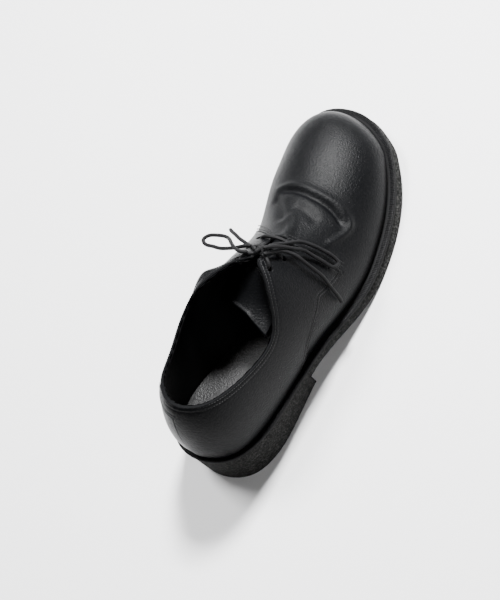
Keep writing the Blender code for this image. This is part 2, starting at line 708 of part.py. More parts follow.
def lifted_place(row, across, lift):
    """Return the point above the last at a row and a signed share across from the ridge."""
    sign = -1.0 if across < 0 else 1.0
    return last_surface(row, 1.0 - abs(across), sign)[0] + surface_normal(row, 1.0 - abs(across), sign) * lift


def add_lace_bars(skin):
    """Add the straight crossings: each lies on both facings from eyelet to eyelet over the throat."""
    places = eyelet_places()
    lift = QUARTER_STEP + GAP + LACE_DIAMETER / 2
    share = np.linspace(0.0, 1.0, 11)
    for k in range(EYELET_COUNT):
        (row_in, way_in, _), (row_out, way_out, _) = places[k], places[k + EYELET_COUNT]
        across = (way_in - 1.0) * (1.0 - share) + (1.0 - way_out) * share
        path = [lifted_place(row_in + (row_out - row_in) * t, x, lift) for t, x in zip(share, across)]
        add_object(f"lace_bar_{k + 1}", *tube(np.array(path), LACE_DIAMETER / 2), skin)


def add_lace_knot(skin):
    """Add the knot as a flattened ball that lies on the facings between the upper two crossings."""
    way = 1.0 - KNOT_ACROSS
    normal = surface_normal(KNOT_ROW, way, 1.0)
    wide = np.cross([0.0, 1.0, 0.0], normal)
    wide /= np.linalg.norm(wide)
    frame = np.array([wide, np.cross(normal, wide), normal])
    ball = bmesh.new()
    bmesh.ops.create_uvsphere(ball, u_segments=12, v_segments=8, radius=0.5)
    points = np.array([v.co[:] for v in ball.verts]) * KNOT_SIZE @ frame
    faces = [tuple(v.index for v in face.verts) for face in ball.faces]
    ball.free()
    centre = lifted_place(KNOT_ROW, KNOT_ACROSS, QUARTER_STEP + GAP + KNOT_SIZE[2] / 2)
    add_object("lace_knot", points + centre, faces, skin)


def add_bow_cord(name, route, skin):
    """Add one cord of the bow: a round tube on a smooth curve through its route."""
    knots = reach(np.array(route))
    stops_along = np.linspace(0.0, knots[-1], int(round(knots[-1] / CORD_STEP)) + 1)
    places = spline_weights(knots, stops_along) @ np.array(route)
    curve = bpy.data.curves.new(name, "CURVE")
    curve.dimensions = "3D"
    curve.bevel_depth = LACE_DIAMETER / 2
    curve.bevel_resolution = 2
    curve.use_fill_caps = True
    spline = curve.splines.new("POLY")
    spline.points.add(len(places) - 1)
    spline.points.foreach_set("co", np.column_stack([places, np.ones(len(places))]).ravel())
    curve.materials.append(skin)
    bpy.context.scene.collection.objects.link(bpy.data.objects.new(name, curve))


def main():
    for old in list(bpy.data.objects):
        bpy.data.objects.remove(old, do_unlink=True)
    leather = material("black_leather", (0.018, 0.019, 0.021), 0.38)
    lining = material("black_lining", (0.014, 0.014, 0.015), 0.55)
    band = material("welt_black", (0.012, 0.012, 0.014), 0.35)
    rubber = material("sponge_rubber", (0.030, 0.030, 0.029), 0.85)
    cord = material("black_lace", (0.013, 0.013, 0.014), 0.60)
    add_outsole(rubber)
    add_welt(band)
    add_insole(lining)
    add_upper(leather)
    add_tongue(leather)
    add_lace_bars(cord)
    add_lace_knot(cord)
    for name, route in BOW_ROUTES.items():
        add_bow_cord(name, route, cord)


main()
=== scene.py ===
import math

import bmesh
import bpy
import numpy as np
from mathutils import Matrix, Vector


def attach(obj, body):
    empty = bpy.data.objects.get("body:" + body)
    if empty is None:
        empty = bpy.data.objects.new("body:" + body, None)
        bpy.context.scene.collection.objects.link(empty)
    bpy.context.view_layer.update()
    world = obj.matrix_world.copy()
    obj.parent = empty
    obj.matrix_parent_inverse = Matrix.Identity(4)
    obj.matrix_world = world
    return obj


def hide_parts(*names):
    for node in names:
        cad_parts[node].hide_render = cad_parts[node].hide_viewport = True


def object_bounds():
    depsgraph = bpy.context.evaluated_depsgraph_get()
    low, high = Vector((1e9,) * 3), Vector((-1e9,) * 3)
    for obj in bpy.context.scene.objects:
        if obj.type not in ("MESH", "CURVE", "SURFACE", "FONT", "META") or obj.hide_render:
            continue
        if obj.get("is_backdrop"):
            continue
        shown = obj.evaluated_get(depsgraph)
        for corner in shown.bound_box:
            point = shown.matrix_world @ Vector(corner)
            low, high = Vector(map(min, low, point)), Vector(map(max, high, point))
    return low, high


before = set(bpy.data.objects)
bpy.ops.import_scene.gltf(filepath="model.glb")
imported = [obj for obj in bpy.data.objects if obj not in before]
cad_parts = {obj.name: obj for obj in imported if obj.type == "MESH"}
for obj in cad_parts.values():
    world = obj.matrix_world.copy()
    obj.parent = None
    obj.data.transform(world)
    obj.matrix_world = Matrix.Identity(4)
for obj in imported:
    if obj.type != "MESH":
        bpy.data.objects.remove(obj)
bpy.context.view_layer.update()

# Camera: the view that the photograph has of the shoe, turned back to a shoe that stands on its sole.
# The shoe leaned toe up there, so the camera looks down steeply on the outer side and is rolled.
VIEW_AZIMUTH = math.radians(63.05)
VIEW_ELEVATION = math.radians(55.07)
VIEW_ROLL = math.radians(-44.56)
VIEW_DISTANCE = 1.256
VIEW_TARGET = np.array([0.0012, 0.0015, 0.0400])
VIEW_LENS = 102.6
VIEW_SHIFT = (-0.0590, -0.0439)


def direction(azimuth, elevation):
    """Return the unit vector from the shoe to a viewer: sine and cosine of the two angles."""
    level = math.cos(elevation)
    return np.array([math.sin(azimuth) * level, -math.cos(azimuth) * level, math.sin(elevation)])


def unit(vectors):
    """Return vectors divided by their own lengths."""
    return vectors / np.linalg.norm(vectors, axis=-1, keepdims=True)


def look(place, back, roll):
    """Return the matrix at a place whose Z axis is back, turned about it by roll."""
    right = unit(np.cross(-back, (0.0, 0.0, 1.0)))
    up = np.cross(right, -back)
    axes = np.array([right * math.cos(roll) + up * math.sin(roll),
                     up * math.cos(roll) - right * math.sin(roll), back])
    matrix = np.eye(4)
    matrix[:3, :3], matrix[:3, 3] = axes.T, place
    return Matrix(matrix.tolist())


camera = bpy.data.objects.new("camera", bpy.data.cameras.new("camera"))
bpy.context.scene.collection.objects.link(camera)
view_back = direction(VIEW_AZIMUTH, VIEW_ELEVATION)
camera.matrix_world = look(VIEW_TARGET + view_back * VIEW_DISTANCE, view_back, VIEW_ROLL)
camera.data.lens = VIEW_LENS
camera.data.shift_x, camera.data.shift_y = VIEW_SHIFT
bpy.context.scene.camera = camera

# Light: a soft panel beyond the toe that gives the highlight there, a high one on the inner side for the
# insole and a low one on the outer side, in a room that is dark beside them.
ROOM_COLOUR = (0.0600, 0.0600, 0.0606, 1.0)
ROOM_STRENGTH = 0.8
PANELS = [
    # name, azimuth and elevation in degrees, distance and side in metres, power in watts
    ("key_panel", 178.0, 57.0, 1.7, 0.28, 225.0),
    ("top_panel", -108.0, 67.0, 1.9, 0.50, 78.0),
    ("side_panel", 70.0, 40.0, 1.8, 0.80, 16.0),
]
for name, azimuth, elevation, distance, side, power in PANELS:
    lamp = bpy.data.lights.new(name, "AREA")
    lamp.shape, lamp.size, lamp.energy = "SQUARE", side, power
    holder = bpy.data.objects.new(name, lamp)
    bpy.context.scene.collection.objects.link(holder)
    aim = direction(math.radians(azimuth), math.radians(elevation))
    holder.matrix_world = look(aim * distance, aim, 0.0)
world = bpy.data.worlds.new("room")
world.use_nodes = True
room = world.node_tree.nodes["Background"].inputs
room["Color"].default_value = ROOM_COLOUR
room["Strength"].default_value = ROOM_STRENGTH
bpy.context.scene.world = world


class Wire:
    """A shader socket: sums and products of wires and numbers add their Math nodes."""

    def __init__(self, tree, socket=None):
        self.tree, self.socket = tree, socket

    def node(self, kind, inputs, settings=None, out=0):
        """Add a node of a kind, set its settings, feed its sockets and return one output."""
        made = self.tree.nodes.new("ShaderNode" + kind)
        for name, value in (settings or {}).items():
            setattr(made, name, value)
        for key, value in inputs.items():
            if isinstance(value, Wire):
                self.tree.links.new(value.socket, made.inputs[key])
            else:
                made.inputs[key].default_value = value
        return Wire(self.tree, made.outputs[out])

    def math(self, operation, first, second=0.0):
        """Return the result of a Math node, which the operators below use."""
        return self.node("Math", {0: first, 1: second}, {"operation": operation})

    def __add__(self, other):
        return self.math("ADD", self, other)

    def __sub__(self, other):
        return self.math("SUBTRACT", self, other)

    def __rsub__(self, other):
        return self.math("SUBTRACT", other, self)

    def __mul__(self, other):
        return self.math("MULTIPLY", self, other)

    __radd__ = __add__
    __rmul__ = __mul__

    def step(self, low, high):
        """Return 0 below low and 1 above high, with a smooth rise between them."""
        return self.node("MapRange", {"Value": self, "From Min": low, "From Max": high},
                         {"interpolation_type": "SMOOTHSTEP"})

    def sine(self):
        """Return the sine of an angle in radians."""
        return self.math("SINE", self)

    def colours(self, dark, light):
        """Return the colour between dark at 0 and light at 1."""
        return self.node("Mix", {0: self, 6: (*dark, 1.0), 7: (*light, 1.0)}, {"data_type": "RGBA"}, 2)

    def place(self):
        """Return the piece's own coordinates in metres."""
        return self.node("TexCoord", {}, out=3)

    def noise(self, size, detail=2.0, roughness=0.5):
        """Return soft noise with grains of a size in metres."""
        return self.node("TexNoise", {"Vector": self.place(), "Scale": 1.0 / size, "Detail": detail,
                                      "Roughness": roughness})

    def cells(self, size):
        """Return the distance to the nearest of scattered points, as a share of their spacing in metres."""
        return self.node("TexVoronoi", {"Vector": self.place(), "Scale": 1.0 / size})

    def attribute(self, name):
        """Return a named value that the mesh holds at its points."""
        return self.node("Attribute", {}, {"attribute_name": name}, 2)

    def bump(self, distance, strength=1.0):
        """Return the normal that this height gives, where 1 stands for a distance in metres."""
        return self.node("Bump", {"Height": self, "Distance": distance, "Strength": strength})


def finish_material(name, fixed, varying):
    """Return a Principled material from fixed socket values and from wires that varying gives."""
    made = bpy.data.materials.new(name)
    made.use_nodes = True
    shader = made.node_tree.nodes["Principled BSDF"]
    for key, value in fixed.items():
        shader.inputs[key].default_value = value
    for key, wire in varying(Wire(made.node_tree)).items():
        made.node_tree.links.new(wire.socket, shader.inputs[key])
    return made


def add_mesh(name, points, faces, material, marks=None, sharp=None):
    """Add a smooth mesh object at the origin, with its material and named values at its points."""
    mesh = bpy.data.meshes.new(name)
    mesh.from_pydata(np.asarray(points).reshape(-1, 3).tolist(), [], np.asarray(faces).tolist())
    for key, values in (marks or {}).items():
        kept = mesh.attributes.new(key, "FLOAT", "POINT")
        kept.data.foreach_set("value", np.ravel(values).astype(np.float32))
    mesh.materials.append(material)
    mesh.shade_smooth()
    if sharp:
        mesh.set_sharp_from_angle(angle=math.radians(sharp))
    made = bpy.data.objects.new(name, mesh)
    bpy.context.scene.collection.objects.link(made)
    return made


# Floor: a pale matt table top under the shoe.
FLOOR_HALF = 3.0


def floor_paint(root):
    """A table top that is a little uneven in tone."""
    return {"Base Color": root.noise(0.30).colours((0.470, 0.470, 0.475), (0.490, 0.490, 0.495))}


floor_corners = [(x * FLOOR_HALF, y * FLOOR_HALF, 0.0) for x, y in ((-1, -1), (1, -1), (1, 1), (-1, 1))]
floor = add_mesh("floor", floor_corners, [(0, 1, 2, 3)],
                 finish_material("floor_white", {"Roughness": 0.6}, floor_paint))
floor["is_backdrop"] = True

# Outsole: one piece of black cellular rubber from toe to heel, moulded with its heel. Its side is cut
# and buffed, so the rubber's fine cells show as grey specks, and it is cemented under the welt.
LAST_LENGTH = 0.285
BALL_WIDTH = 0.0945
INSTEP_HEIGHT = 0.070
FEATHER_SWELL = 0.006
OUTSOLE_THICKNESS = 0.0072
OUTSOLE_FLARE = 0.0016
OUTSOLE_INSET = 0.0008
TOE_SPRING = 0.0125
WAIST_LIFT = 0.0155
HEEL_RISE = 0.0108
HEEL_LENGTH = 0.0865
HEEL_TAPER = 0.0035
BREAST_LEDGE = 0.0016
LEDGE_HEIGHT = 0.0090
FOREFOOT_FLAT = 0.018
BALL_STATION = 0.660
WELT_FORE = 0.0062
WELT_HEEL = 0.0048
GAP = 0.0003
SOLE_EDGE_RADIUS = 0.0007
MARGIN_START = 0.25
MARGIN_RUN = 0.45
OUTLINE_COUNT = 720
RUNG_COUNT = 190
BREAST_CLEAR = 0.006
BREAST_RUNGS = np.array([-0.0015, -0.0005, 0.0005, 0.0015])
TAPER_REACH = 0.002


def table(columns, rows):
    """Return the rows as one array for each named column."""
    return dict(zip(columns.split(), np.array(rows, float).T))


# The last's sections from heel to toe corner: feather line, wall, shoulder and ridge.
SECTIONS = table("station medial lateral swell_in swell_out up inner outer along shift top", [
    (0.000, -0.084, -0.084, 1.00, 1.00, 0.42, 0.37, 0.37, 0.161, -0.050, 1.20),
    (0.023, -0.300, 0.151, 0.60, 1.00, 0.42, 0.25, 0.35, 0.161, -0.050, 1.20),
    (0.093, -0.415, 0.286, 0.80, 1.00, 0.42, 0.23, 0.32, 0.171, -0.050, 1.20),
    (0.198, -0.384, 0.345, 1.50, 1.10, 0.42, 0.34, 0.30, 0.211, -0.035, 1.20),
    (0.303, -0.293, 0.381, 2.50, 1.60, 0.42, 0.57, 0.24, 0.307, 0.040, 1.24),
    (0.391, -0.260, 0.429, 2.70, 2.00, 0.42, 0.42, 0.17, 0.396, 0.100, 1.27),
    (0.479, -0.299, 0.483, 2.00, 1.80, 0.38, 0.39, 0.16, 0.482, 0.100, 1.13),
    (0.567, -0.382, 0.512, 1.40, 1.20, 0.34, 0.33, 0.185, 0.573, 0.075, 0.91),
    (0.655, -0.466, 0.506, 1.00, 1.00, 0.32, 0.30, 0.24, 0.667, 0.020, 0.765),
    (0.742, -0.523, 0.474, 0.90, 0.90, 0.30, 0.315, 0.285, 0.755, -0.040, 0.670),
    (0.806, -0.534, 0.428, 0.80, 0.90, 0.27, 0.29, 0.31, 0.834, -0.092, 0.595),
    (0.854, -0.531, 0.378, 0.70, 0.90, 0.24, 0.28, 0.31, 0.907, -0.130, 0.490),
    (0.886, -0.519, 0.335, 0.60, 0.90, 0.19, 0.26, 0.30, 0.963, -0.158, 0.345),
    (0.909, -0.507, 0.297, 0.60, 0.80, 0.11, 0.23, 0.27, 0.992, -0.172, 0.170),
    (0.926, -0.496, 0.267, 0.00, 0.00, 0.00, 0.00, 0.00, 1.000, -0.177, 0.000),
])
TOE_ARC = table("station across", [
    (0.957, 0.170), (0.982, 0.063), (1.000, -0.177), (0.982, -0.374), (0.957, -0.444),
])
BREAST = HEEL_LENGTH - WELT_HEEL
FLAT_BACK = BALL_STATION * LAST_LENGTH - FOREFOOT_FLAT / 2
FLAT_FRONT = BALL_STATION * LAST_LENGTH + FOREFOOT_FLAT / 2


def smooth(t):
    """Return 3t^2 - 2t^3, held between 0 and 1."""
    t = np.clip(t, 0.0, 1.0)
    return t * t * (3.0 - 2.0 * t)


def spline_weights(knots, at, closed=False):
    """Return weights so that weights @ values is the cubic spline through the values at the knots.

    The second derivatives solve the usual three-term system: free at both ends, or joined round a loop.
    """
    knots, at = np.asarray(knots, float), np.asarray(at, float)
    count = len(knots) - 1 if closed else len(knots)
    steps = np.diff(knots)
    inner = np.arange(count) if closed else np.arange(1, count - 1)
    before, after = steps[inner - 1], steps[inner % len(steps)]
    left, right = np.zeros((count, count)), np.zeros((count, count))
    if not closed:
        left[0, 0] = left[-1, -1] = 1.0
    left[inner, (inner - 1) % count] += before
    left[inner, inner] += 2.0 * (before + after)
    left[inner, (inner + 1) % count] += after
    right[inner, (inner - 1) % count] += 6.0 / before
    right[inner, inner] -= 6.0 / before + 6.0 / after
    right[inner, (inner + 1) % count] += 6.0 / after
    bend = np.linalg.solve(left, right)
    i = np.clip(np.searchsorted(knots, at, side="right") - 1, 0, len(knots) - 2)
    step = knots[i + 1] - knots[i]
    a = (knots[i + 1] - at) / step
    b = 1.0 - a
    one, third = np.eye(count), (step ** 2 / 6.0)[..., None]
    low, high = i % count, (i + 1) % count
    return (a[..., None] * one[low] + b[..., None] * one[high]
            + (a ** 3 - a)[..., None] * third * bend[low] + (b ** 3 - b)[..., None] * third * bend[high])


def ground_line(y):
    """Return the tread's height in front of the heel: arch, flat spot and toe spring."""
    arch = WAIST_LIFT * smooth((FLAT_BACK - y) / (FLAT_BACK - BREAST))
    return arch + TOE_SPRING * np.clip((y - FLAT_FRONT) / (LAST_LENGTH - FLAT_FRONT), 0, None) ** 1.9


def outsole_top(y):
    """Return the height of the outsole's upper face, which rises along the heel seat."""
    return ground_line(y) + OUTSOLE_THICKNESS + HEEL_RISE * np.clip((BREAST - y) / BREAST, 0, None)


def feather_knots():
    """Return the feather line's points: back, outer side, toe, inner side, back again."""
    x = np.concatenate([SECTIONS["lateral"], TOE_ARC["across"], SECTIONS["medial"][:0:-1]])
    y = np.concatenate([SECTIONS["station"], TOE_ARC["station"], SECTIONS["station"][:0:-1]])
    points = np.column_stack([x * BALL_WIDTH, y * LAST_LENGTH])
    return np.vstack([points, points[:1]])


def lengths_along(path):
    """Return the length along a path at each of its points."""
    return np.concatenate([[0.0], np.cumsum(np.linalg.norm(np.diff(path, axis=0), axis=1))])


FEATHER = feather_knots()
FEATHER_REACH = lengths_along(FEATHER)


def feather_line(at):
    """Return the feather line's plan points at lengths along it, on a closed spline."""
    return spline_weights(FEATHER_REACH, at, closed=True) @ FEATHER[:-1]


def outline(offset_heel, offset_fore, count=240):
    """Return the feather line moved outward along its own normal, as a closed loop from the back."""
    loop = feather_line(np.linspace(0.0, FEATHER_REACH[-1], count, endpoint=False))
    along = unit(np.roll(loop, -1, 0) - np.roll(loop, 1, 0))
    outward = np.column_stack([along[:, 1], -along[:, 0]])
    share = smooth((loop[:, 1] / LAST_LENGTH - MARGIN_START) / MARGIN_RUN)
    return loop + outward * (offset_heel + (offset_fore - offset_heel) * share)[:, None]


def sole_centre():
    """Return the middle of the sole's box in plan, which is the part's origin."""
    tread = outline(WELT_HEEL - OUTSOLE_INSET, WELT_FORE + OUTSOLE_FLARE)
    band = outline(WELT_HEEL, WELT_FORE)
    low, high = np.minimum(tread.min(0), band.min(0)), np.maximum(tread.max(0), band.max(0))
    return (low + high) / 2


CENTRE = np.array([*sole_centre(), 0.0])


def sides_at(loop, y):
    """Return a closed outline's inner and outer x at the given y, by straight interpolation."""
    low, high = loop[:, 1].argmin(), loop[:, 1].argmax()
    turned = np.roll(loop, -low, axis=0)
    tip = (high - low) % len(loop)
    lateral = turned[:tip + 1]
    medial = np.vstack([turned[tip:], turned[:1]])[::-1]
    return np.interp(y, medial[:, 1], medial[:, 0]), np.interp(y, lateral[:, 1], lateral[:, 0])


def outsole_surface():
    """Return the outsole's layers from top to tread as arrays of inner x, outer x, y and z.

    Rungs lie across the sole at cosine steps of its length, with four of their own at the heel's breast.
    Each layer is a share of the way from the top outline to the tread outline, and a quarter circle
    draws the first and the last ones in.
    """
    top = outline(WELT_HEEL - OUTSOLE_INSET, WELT_FORE - OUTSOLE_INSET, OUTLINE_COUNT)
    tread = outline(WELT_HEEL - OUTSOLE_INSET, WELT_FORE + OUTSOLE_FLARE, OUTLINE_COUNT)
    low, high = tread[:, 1].min(), tread[:, 1].max()
    breast = (BREAST - low) / (high - low)
    shares = (1.0 - np.cos(np.linspace(0.0, np.pi, RUNG_COUNT))) / 2.0
    heel, fore = shares[shares < breast - BREAST_CLEAR], shares[shares > breast + BREAST_CLEAR]
    share = np.concatenate([heel, breast + BREAST_RUNGS, fore])
    tread_y = low + (high - low) * share
    tread_y[len(heel):len(heel) + 4] = [BREAST + BREAST_LEDGE, BREAST + BREAST_LEDGE, BREAST, BREAST]
    tread_z = np.concatenate([0 * heel, [0.0, LEDGE_HEIGHT, LEDGE_HEIGHT, ground_line(BREAST)],
                              ground_line(low + (high - low) * fore)])
    in_heel = (tread_z < ground_line(BREAST) - 1e-6) & (tread_y < BREAST + TAPER_REACH)
    taper = HEEL_TAPER * in_heel * np.clip(tread_y / BREAST, 0, 1)
    medial, lateral = sides_at(tread, tread_y)
    top_y = top[:, 1].min() + (top[:, 1].max() - top[:, 1].min()) * share
    top_medial, top_lateral = sides_at(top, top_y)
    top_z = outsole_top(top_y)
    arc = np.linspace(0.0, np.pi / 2, 4)
    steps = [(0.0, 1.0 - np.sin(turn), np.cos(turn) - 1.0) for turn in arc]
    steps += [(way, 0.0, 0.0) for way in (0.25, 0.5, 0.75)]
    steps += [(1.0, 1.0 - np.cos(turn), 1.0 - np.sin(turn)) for turn in arc]
    return [(top_medial + (medial + taper - top_medial) * way + SOLE_EDGE_RADIUS * inset,
             top_lateral + (lateral - taper - top_lateral) * way - SOLE_EDGE_RADIUS * inset,
             top_y + (tread_y - top_y) * way,
             top_z + (tread_z - top_z) * way + SOLE_EDGE_RADIUS * rise) for way, inset, rise in steps]


def ladder(layers):
    """Return the closed solid of layers of (inner x, outer x, y, z), top first, with pointed ends."""
    rows = [np.column_stack([medial, y, z]) for medial, _, y, z in layers]
    rows += [np.column_stack([lateral, y, z]) for _, lateral, y, z in reversed(layers)]
    return np.array(rows), grid_faces(len(rows), len(rows[0]), wrap_rows=True)


def grid_faces(rows, columns, wrap_rows=False, wrap_columns=False):
    """Return the four corners of each cell of a grid of points numbered row by row."""
    i = np.arange(rows if wrap_rows else rows - 1)[:, None]
    j = np.arange(columns if wrap_columns else columns - 1)[None, :]
    below, right = (i + 1) % rows, (j + 1) % columns
    corners = (i * columns + j, i * columns + right, below * columns + right, below * columns + j)
    return np.stack([c + 0 * (i + j) for c in corners], axis=-1).reshape(-1, 4)


def rubber_paint(root):
    """Grey specks and pits of cut cellular rubber: fine cells over soft blotches."""
    cells = 1.0 - root.cells(0.0022).step(0.15, 0.50)
    fine = root.noise(0.0017, 3.0, 0.75).step(0.44, 0.66)
    blotch = root.noise(0.012)
    tone = (cells * 0.45 + fine * 0.75) * (0.6 + blotch * 0.8)
    return {
        "Base Color": tone.colours((0.0020, 0.0020, 0.0019), (0.0340, 0.0340, 0.0325)),
        "Roughness": 0.80 + fine * 0.15,
        "Normal": (fine - cells * 0.8).bump(0.00045, 0.8),
    }


def orient(piece, fill=False):
    """Fill a piece's open ends if asked, merge its doubled points and turn its faces outward."""
    whole = bmesh.new()
    whole.from_mesh(piece.data)
    if fill:
        bmesh.ops.holes_fill(whole, edges=[e for e in whole.edges if e.is_boundary])
    bmesh.ops.remove_doubles(whole, verts=whole.verts, dist=1e-6)
    bmesh.ops.recalc_face_normals(whole, faces=whole.faces)
    whole.to_mesh(piece.data)
    whole.free()


rubber = finish_material("cellular_rubber", {"Specular IOR Level": 0.08}, rubber_paint)
sole_points, sole_faces = ladder(outsole_surface())
outsole = add_mesh("sole", sole_points - CENTRE, sole_faces, rubber, sharp=38.0)
orient(outsole)
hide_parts("outsole")
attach(outsole, "root")

# Welt: a black band all round between sole and upper, with a rounded edge and a finely wheeled top.
WELT_THICKNESS = 0.0034
WELT_TUCK = 0.009
WELT_EDGE_RADIUS = 0.0012
WELT_TOP_STEPS = (0.0012, 0.0024, 0.0036)
WELT_COUNT = 900
WHEEL_PITCH = 0.0014
WHEEL_REACH = 0.004


def welt_paint(root):
    """Fine wheel marks across the top and a soft wax gloss."""
    wheel = (root.attribute("along") * (2.0 * math.pi / WHEEL_PITCH)).sine() * root.attribute("wheeled")
    wear = root.noise(0.004, 3.0)
    return {
        "Base Color": wear.colours((0.0014, 0.0014, 0.0016), (0.0030, 0.0030, 0.0033)),
        "Roughness": 0.30 + wear * 0.14 + (1.0 - root.attribute("wheeled")) * 0.30,
        "Normal": (wheel * 0.7 + root.noise(0.0007, 2.0) * 0.8).bump(0.00024, 0.9),
    }


corner = np.linspace(0.0, np.pi / 2, 6)
inset, rise = WELT_EDGE_RADIUS * (1.0 - np.sin(corner)), WELT_EDGE_RADIUS * (1.0 - np.cos(corner))
profile = [(WELT_TUCK, 0.0), *zip(inset, rise), *zip(rise, WELT_THICKNESS - inset)]
profile += [(WELT_EDGE_RADIUS + step, WELT_THICKNESS) for step in WELT_TOP_STEPS]
profile += [(WELT_TUCK, WELT_THICKNESS)]
rings = []
for pull, lift in profile:
    loop = outline(WELT_HEEL - pull, WELT_FORE - pull, WELT_COUNT)
    rings.append(np.column_stack([loop, outsole_top(loop[:, 1]) + GAP + lift]))
rings = np.array(rings)
on_top = [float(lift > 0.9 * WELT_THICKNESS and pull < WHEEL_REACH) for pull, lift in profile]
around = np.tile(lengths_along(rings[len(profile) // 2]), len(profile))
welt_leather = finish_material("welt_leather", {"Specular IOR Level": 0.08}, welt_paint)
welt = add_mesh("welt_band", rings - CENTRE, grid_faces(len(profile), WELT_COUNT, True, True), welt_leather,
                {"along": around, "wheeled": np.repeat(on_top, WELT_COUNT)})
orient(welt)
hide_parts("welt")
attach(welt, "root")

# Vamp and lining: one layer of leather drawn over the last, open at the collar, the throat and the foot.
# It shows as the plain front with its walking creases, and inside the shoe.
WALL = 0.0022
QUARTER_STEP = 0.0012
THROAT_GAP = 0.0100
THROAT_TOP_GAP = 0.0030
FACING_TOP_ROW = 5.75
FACING_FRONT_ROW = 6.85
HALF_NET = 8
EDGE_STEPS = np.array([0.0, 0.00012, 0.0004, 0.0009, 0.0016, 0.0026])
ROWS_PER_METRE = 40
COLLAR_ROW_COUNT = 95
TOE_ROW_COUNT = 112
TIP_STEPS = 0.001 * np.array([60, 30, 12, 4, 0])
VAMP_WAY_COUNT = 66
LEAST_GIRTH = 0.02
BORDER_COUNT = 500
FLEX_ROW = 8.2
FLEX_ROWS = 0.9
FLEX_WAYS = 0.6
CREASE_FADE = 0.2
SWELL_HEIGHT = 0.0065
SWELL_ROW = 4.9
SWELL_ROWS = 0.55
SWELL_END_ROW = 5.6
SWELL_BELOW_RIM = 0.10
SWELL_WAYS = 0.068
COLLAR = table("row medial lateral", [
    (0.0, 0.665, 0.665), (0.6, 0.660, 0.640), (1.2, 0.630, 0.605), (2.0, 0.560, 0.550), (3.0, 0.555, 0.475),
    (3.6, 0.550, 0.450), (4.1, 0.575, 0.480), (4.6, 0.675, 0.575), (5.1, 0.765, 0.700), (5.45, 0.850, 0.815),
    (5.75, 0.965, 0.965),
])


def foot_height(y):
    """Return the height of the upper's lower edge, just clear of the welt."""
    return outsole_top(y) + WELT_THICKNESS + 2 * GAP


def section_net():
    """Return one point for each side, section and step from feather line to ridge.

    A step lies on the cubic Bezier of the section's four points: foot, wall pull, shoulder and ridge.
    """
    count = len(SECTIONS["station"])
    loop = feather_line(np.linspace(0, FEATHER_REACH[-1], 720, endpoint=False))
    ahead = np.roll(loop, -1, 0) - np.roll(loop, 1, 0)
    net = np.zeros((2, count, HALF_NET + 1, 3))
    t = np.linspace(0.0, 1.0, HALF_NET + 1)[None, :, None]
    for side, sign in enumerate((-1.0, 1.0)):
        index = np.arange(count) if side else len(FEATHER) - 1 - np.arange(count)
        foot = FEATHER[index]
        near = np.linalg.norm(loop[None] - foot[:, None], axis=2).argmin(axis=1)
        outward = unit(np.column_stack([ahead[near, 1], -ahead[near, 0]]))
        level = np.where(np.arange(count)[:, None] < 3, outward, (sign, 0.0))
        pull = SECTIONS[("swell_in", "swell_out")[side]] * FEATHER_SWELL
        half = SECTIONS[("inner", "outer")[side]] * BALL_WIDTH
        ridge_y = SECTIONS["along"] * LAST_LENGTH
        p0 = np.column_stack([foot, foot_height(foot[:, 1])])
        p3 = np.column_stack([SECTIONS["shift"] * BALL_WIDTH, ridge_y,
                              foot_height(ridge_y) + SECTIONS["top"] * INSTEP_HEIGHT])
        p1 = p0 + np.column_stack([outward * pull[:, None], SECTIONS["up"] * INSTEP_HEIGHT])
        p2 = p3 + np.column_stack([level * half[:, None], np.zeros(count)])
        p0, p1, p2, p3 = (p[:, None] for p in (p0, p1, p2, p3))
        net[side] = (1 - t) ** 3 * p0 + 3 * (1 - t) ** 2 * t * p1 + 3 * (1 - t) * t ** 2 * p2 + t ** 3 * p3
        tip = count + len(TOE_ARC["station"]) // 2
        arc = feather_line(np.linspace(FEATHER_REACH[index[-1]], FEATHER_REACH[tip], HALF_NET + 1))
        net[side, -1] = np.column_stack([arc, foot_height(arc[:, 1])])
    return net


NET = section_net()
LAST_ROW = NET.shape[1] - 1


def last_point(row, across):
    """Return points of the last at section numbers and signed shares across: -1 inner foot, 0 ridge, 1 outer.

    Splines run along the net and then across it. A row below zero goes on round the heel.
    """
    row, across = np.broadcast_arrays(row, across)
    shape, row, across = row.shape, np.ravel(row).astype(float), np.ravel(across).astype(float)
    loop = np.concatenate([NET[0, :0:-1], NET[1]])
    at = np.arange(-LAST_ROW, LAST_ROW + 1)
    lateral = np.einsum("pr,rjc->pjc", spline_weights(at, row), loop)
    medial = np.einsum("pr,rjc->pjc", spline_weights(at, -row), loop)
    section = np.concatenate([medial, lateral[:, -2::-1]], axis=1)
    weights = spline_weights(np.arange(-HALF_NET, HALF_NET + 1), across * HALF_NET)
    return np.einsum("pj,pjc->pc", weights, section).reshape(shape + (3,))


def last_slopes(row, across, small=1e-3):
    """Return the last's change for one row and for one share across, from small steps both ways."""
    ahead = last_point(row + small, across) - last_point(row - small, across)
    sideways = last_point(row, across + small) - last_point(row, across - small)
    return ahead / (2 * small), sideways / (2 * small)


def last_normal(row, across):
    """Return the last's outward unit normal."""
    ahead, sideways = last_slopes(row, across)
    return unit(np.cross(sideways, ahead))


def facing_way(row, sign):
    """Return the way of a facing's edge, half the throat's gap from the ridge."""
    row = np.minimum(row, FACING_FRONT_ROW)
    share = np.clip((row - FACING_TOP_ROW) / (FACING_FRONT_ROW - FACING_TOP_ROW), 0, 1)
    gap = THROAT_TOP_GAP + (THROAT_GAP - THROAT_TOP_GAP) * share
    shoulder = SECTIONS["inner" if sign < 0 else "outer"] * BALL_WIDTH
    return 1.0 - gap / 2 / (3.0 * np.interp(row, np.arange(LAST_ROW + 1), shoulder))


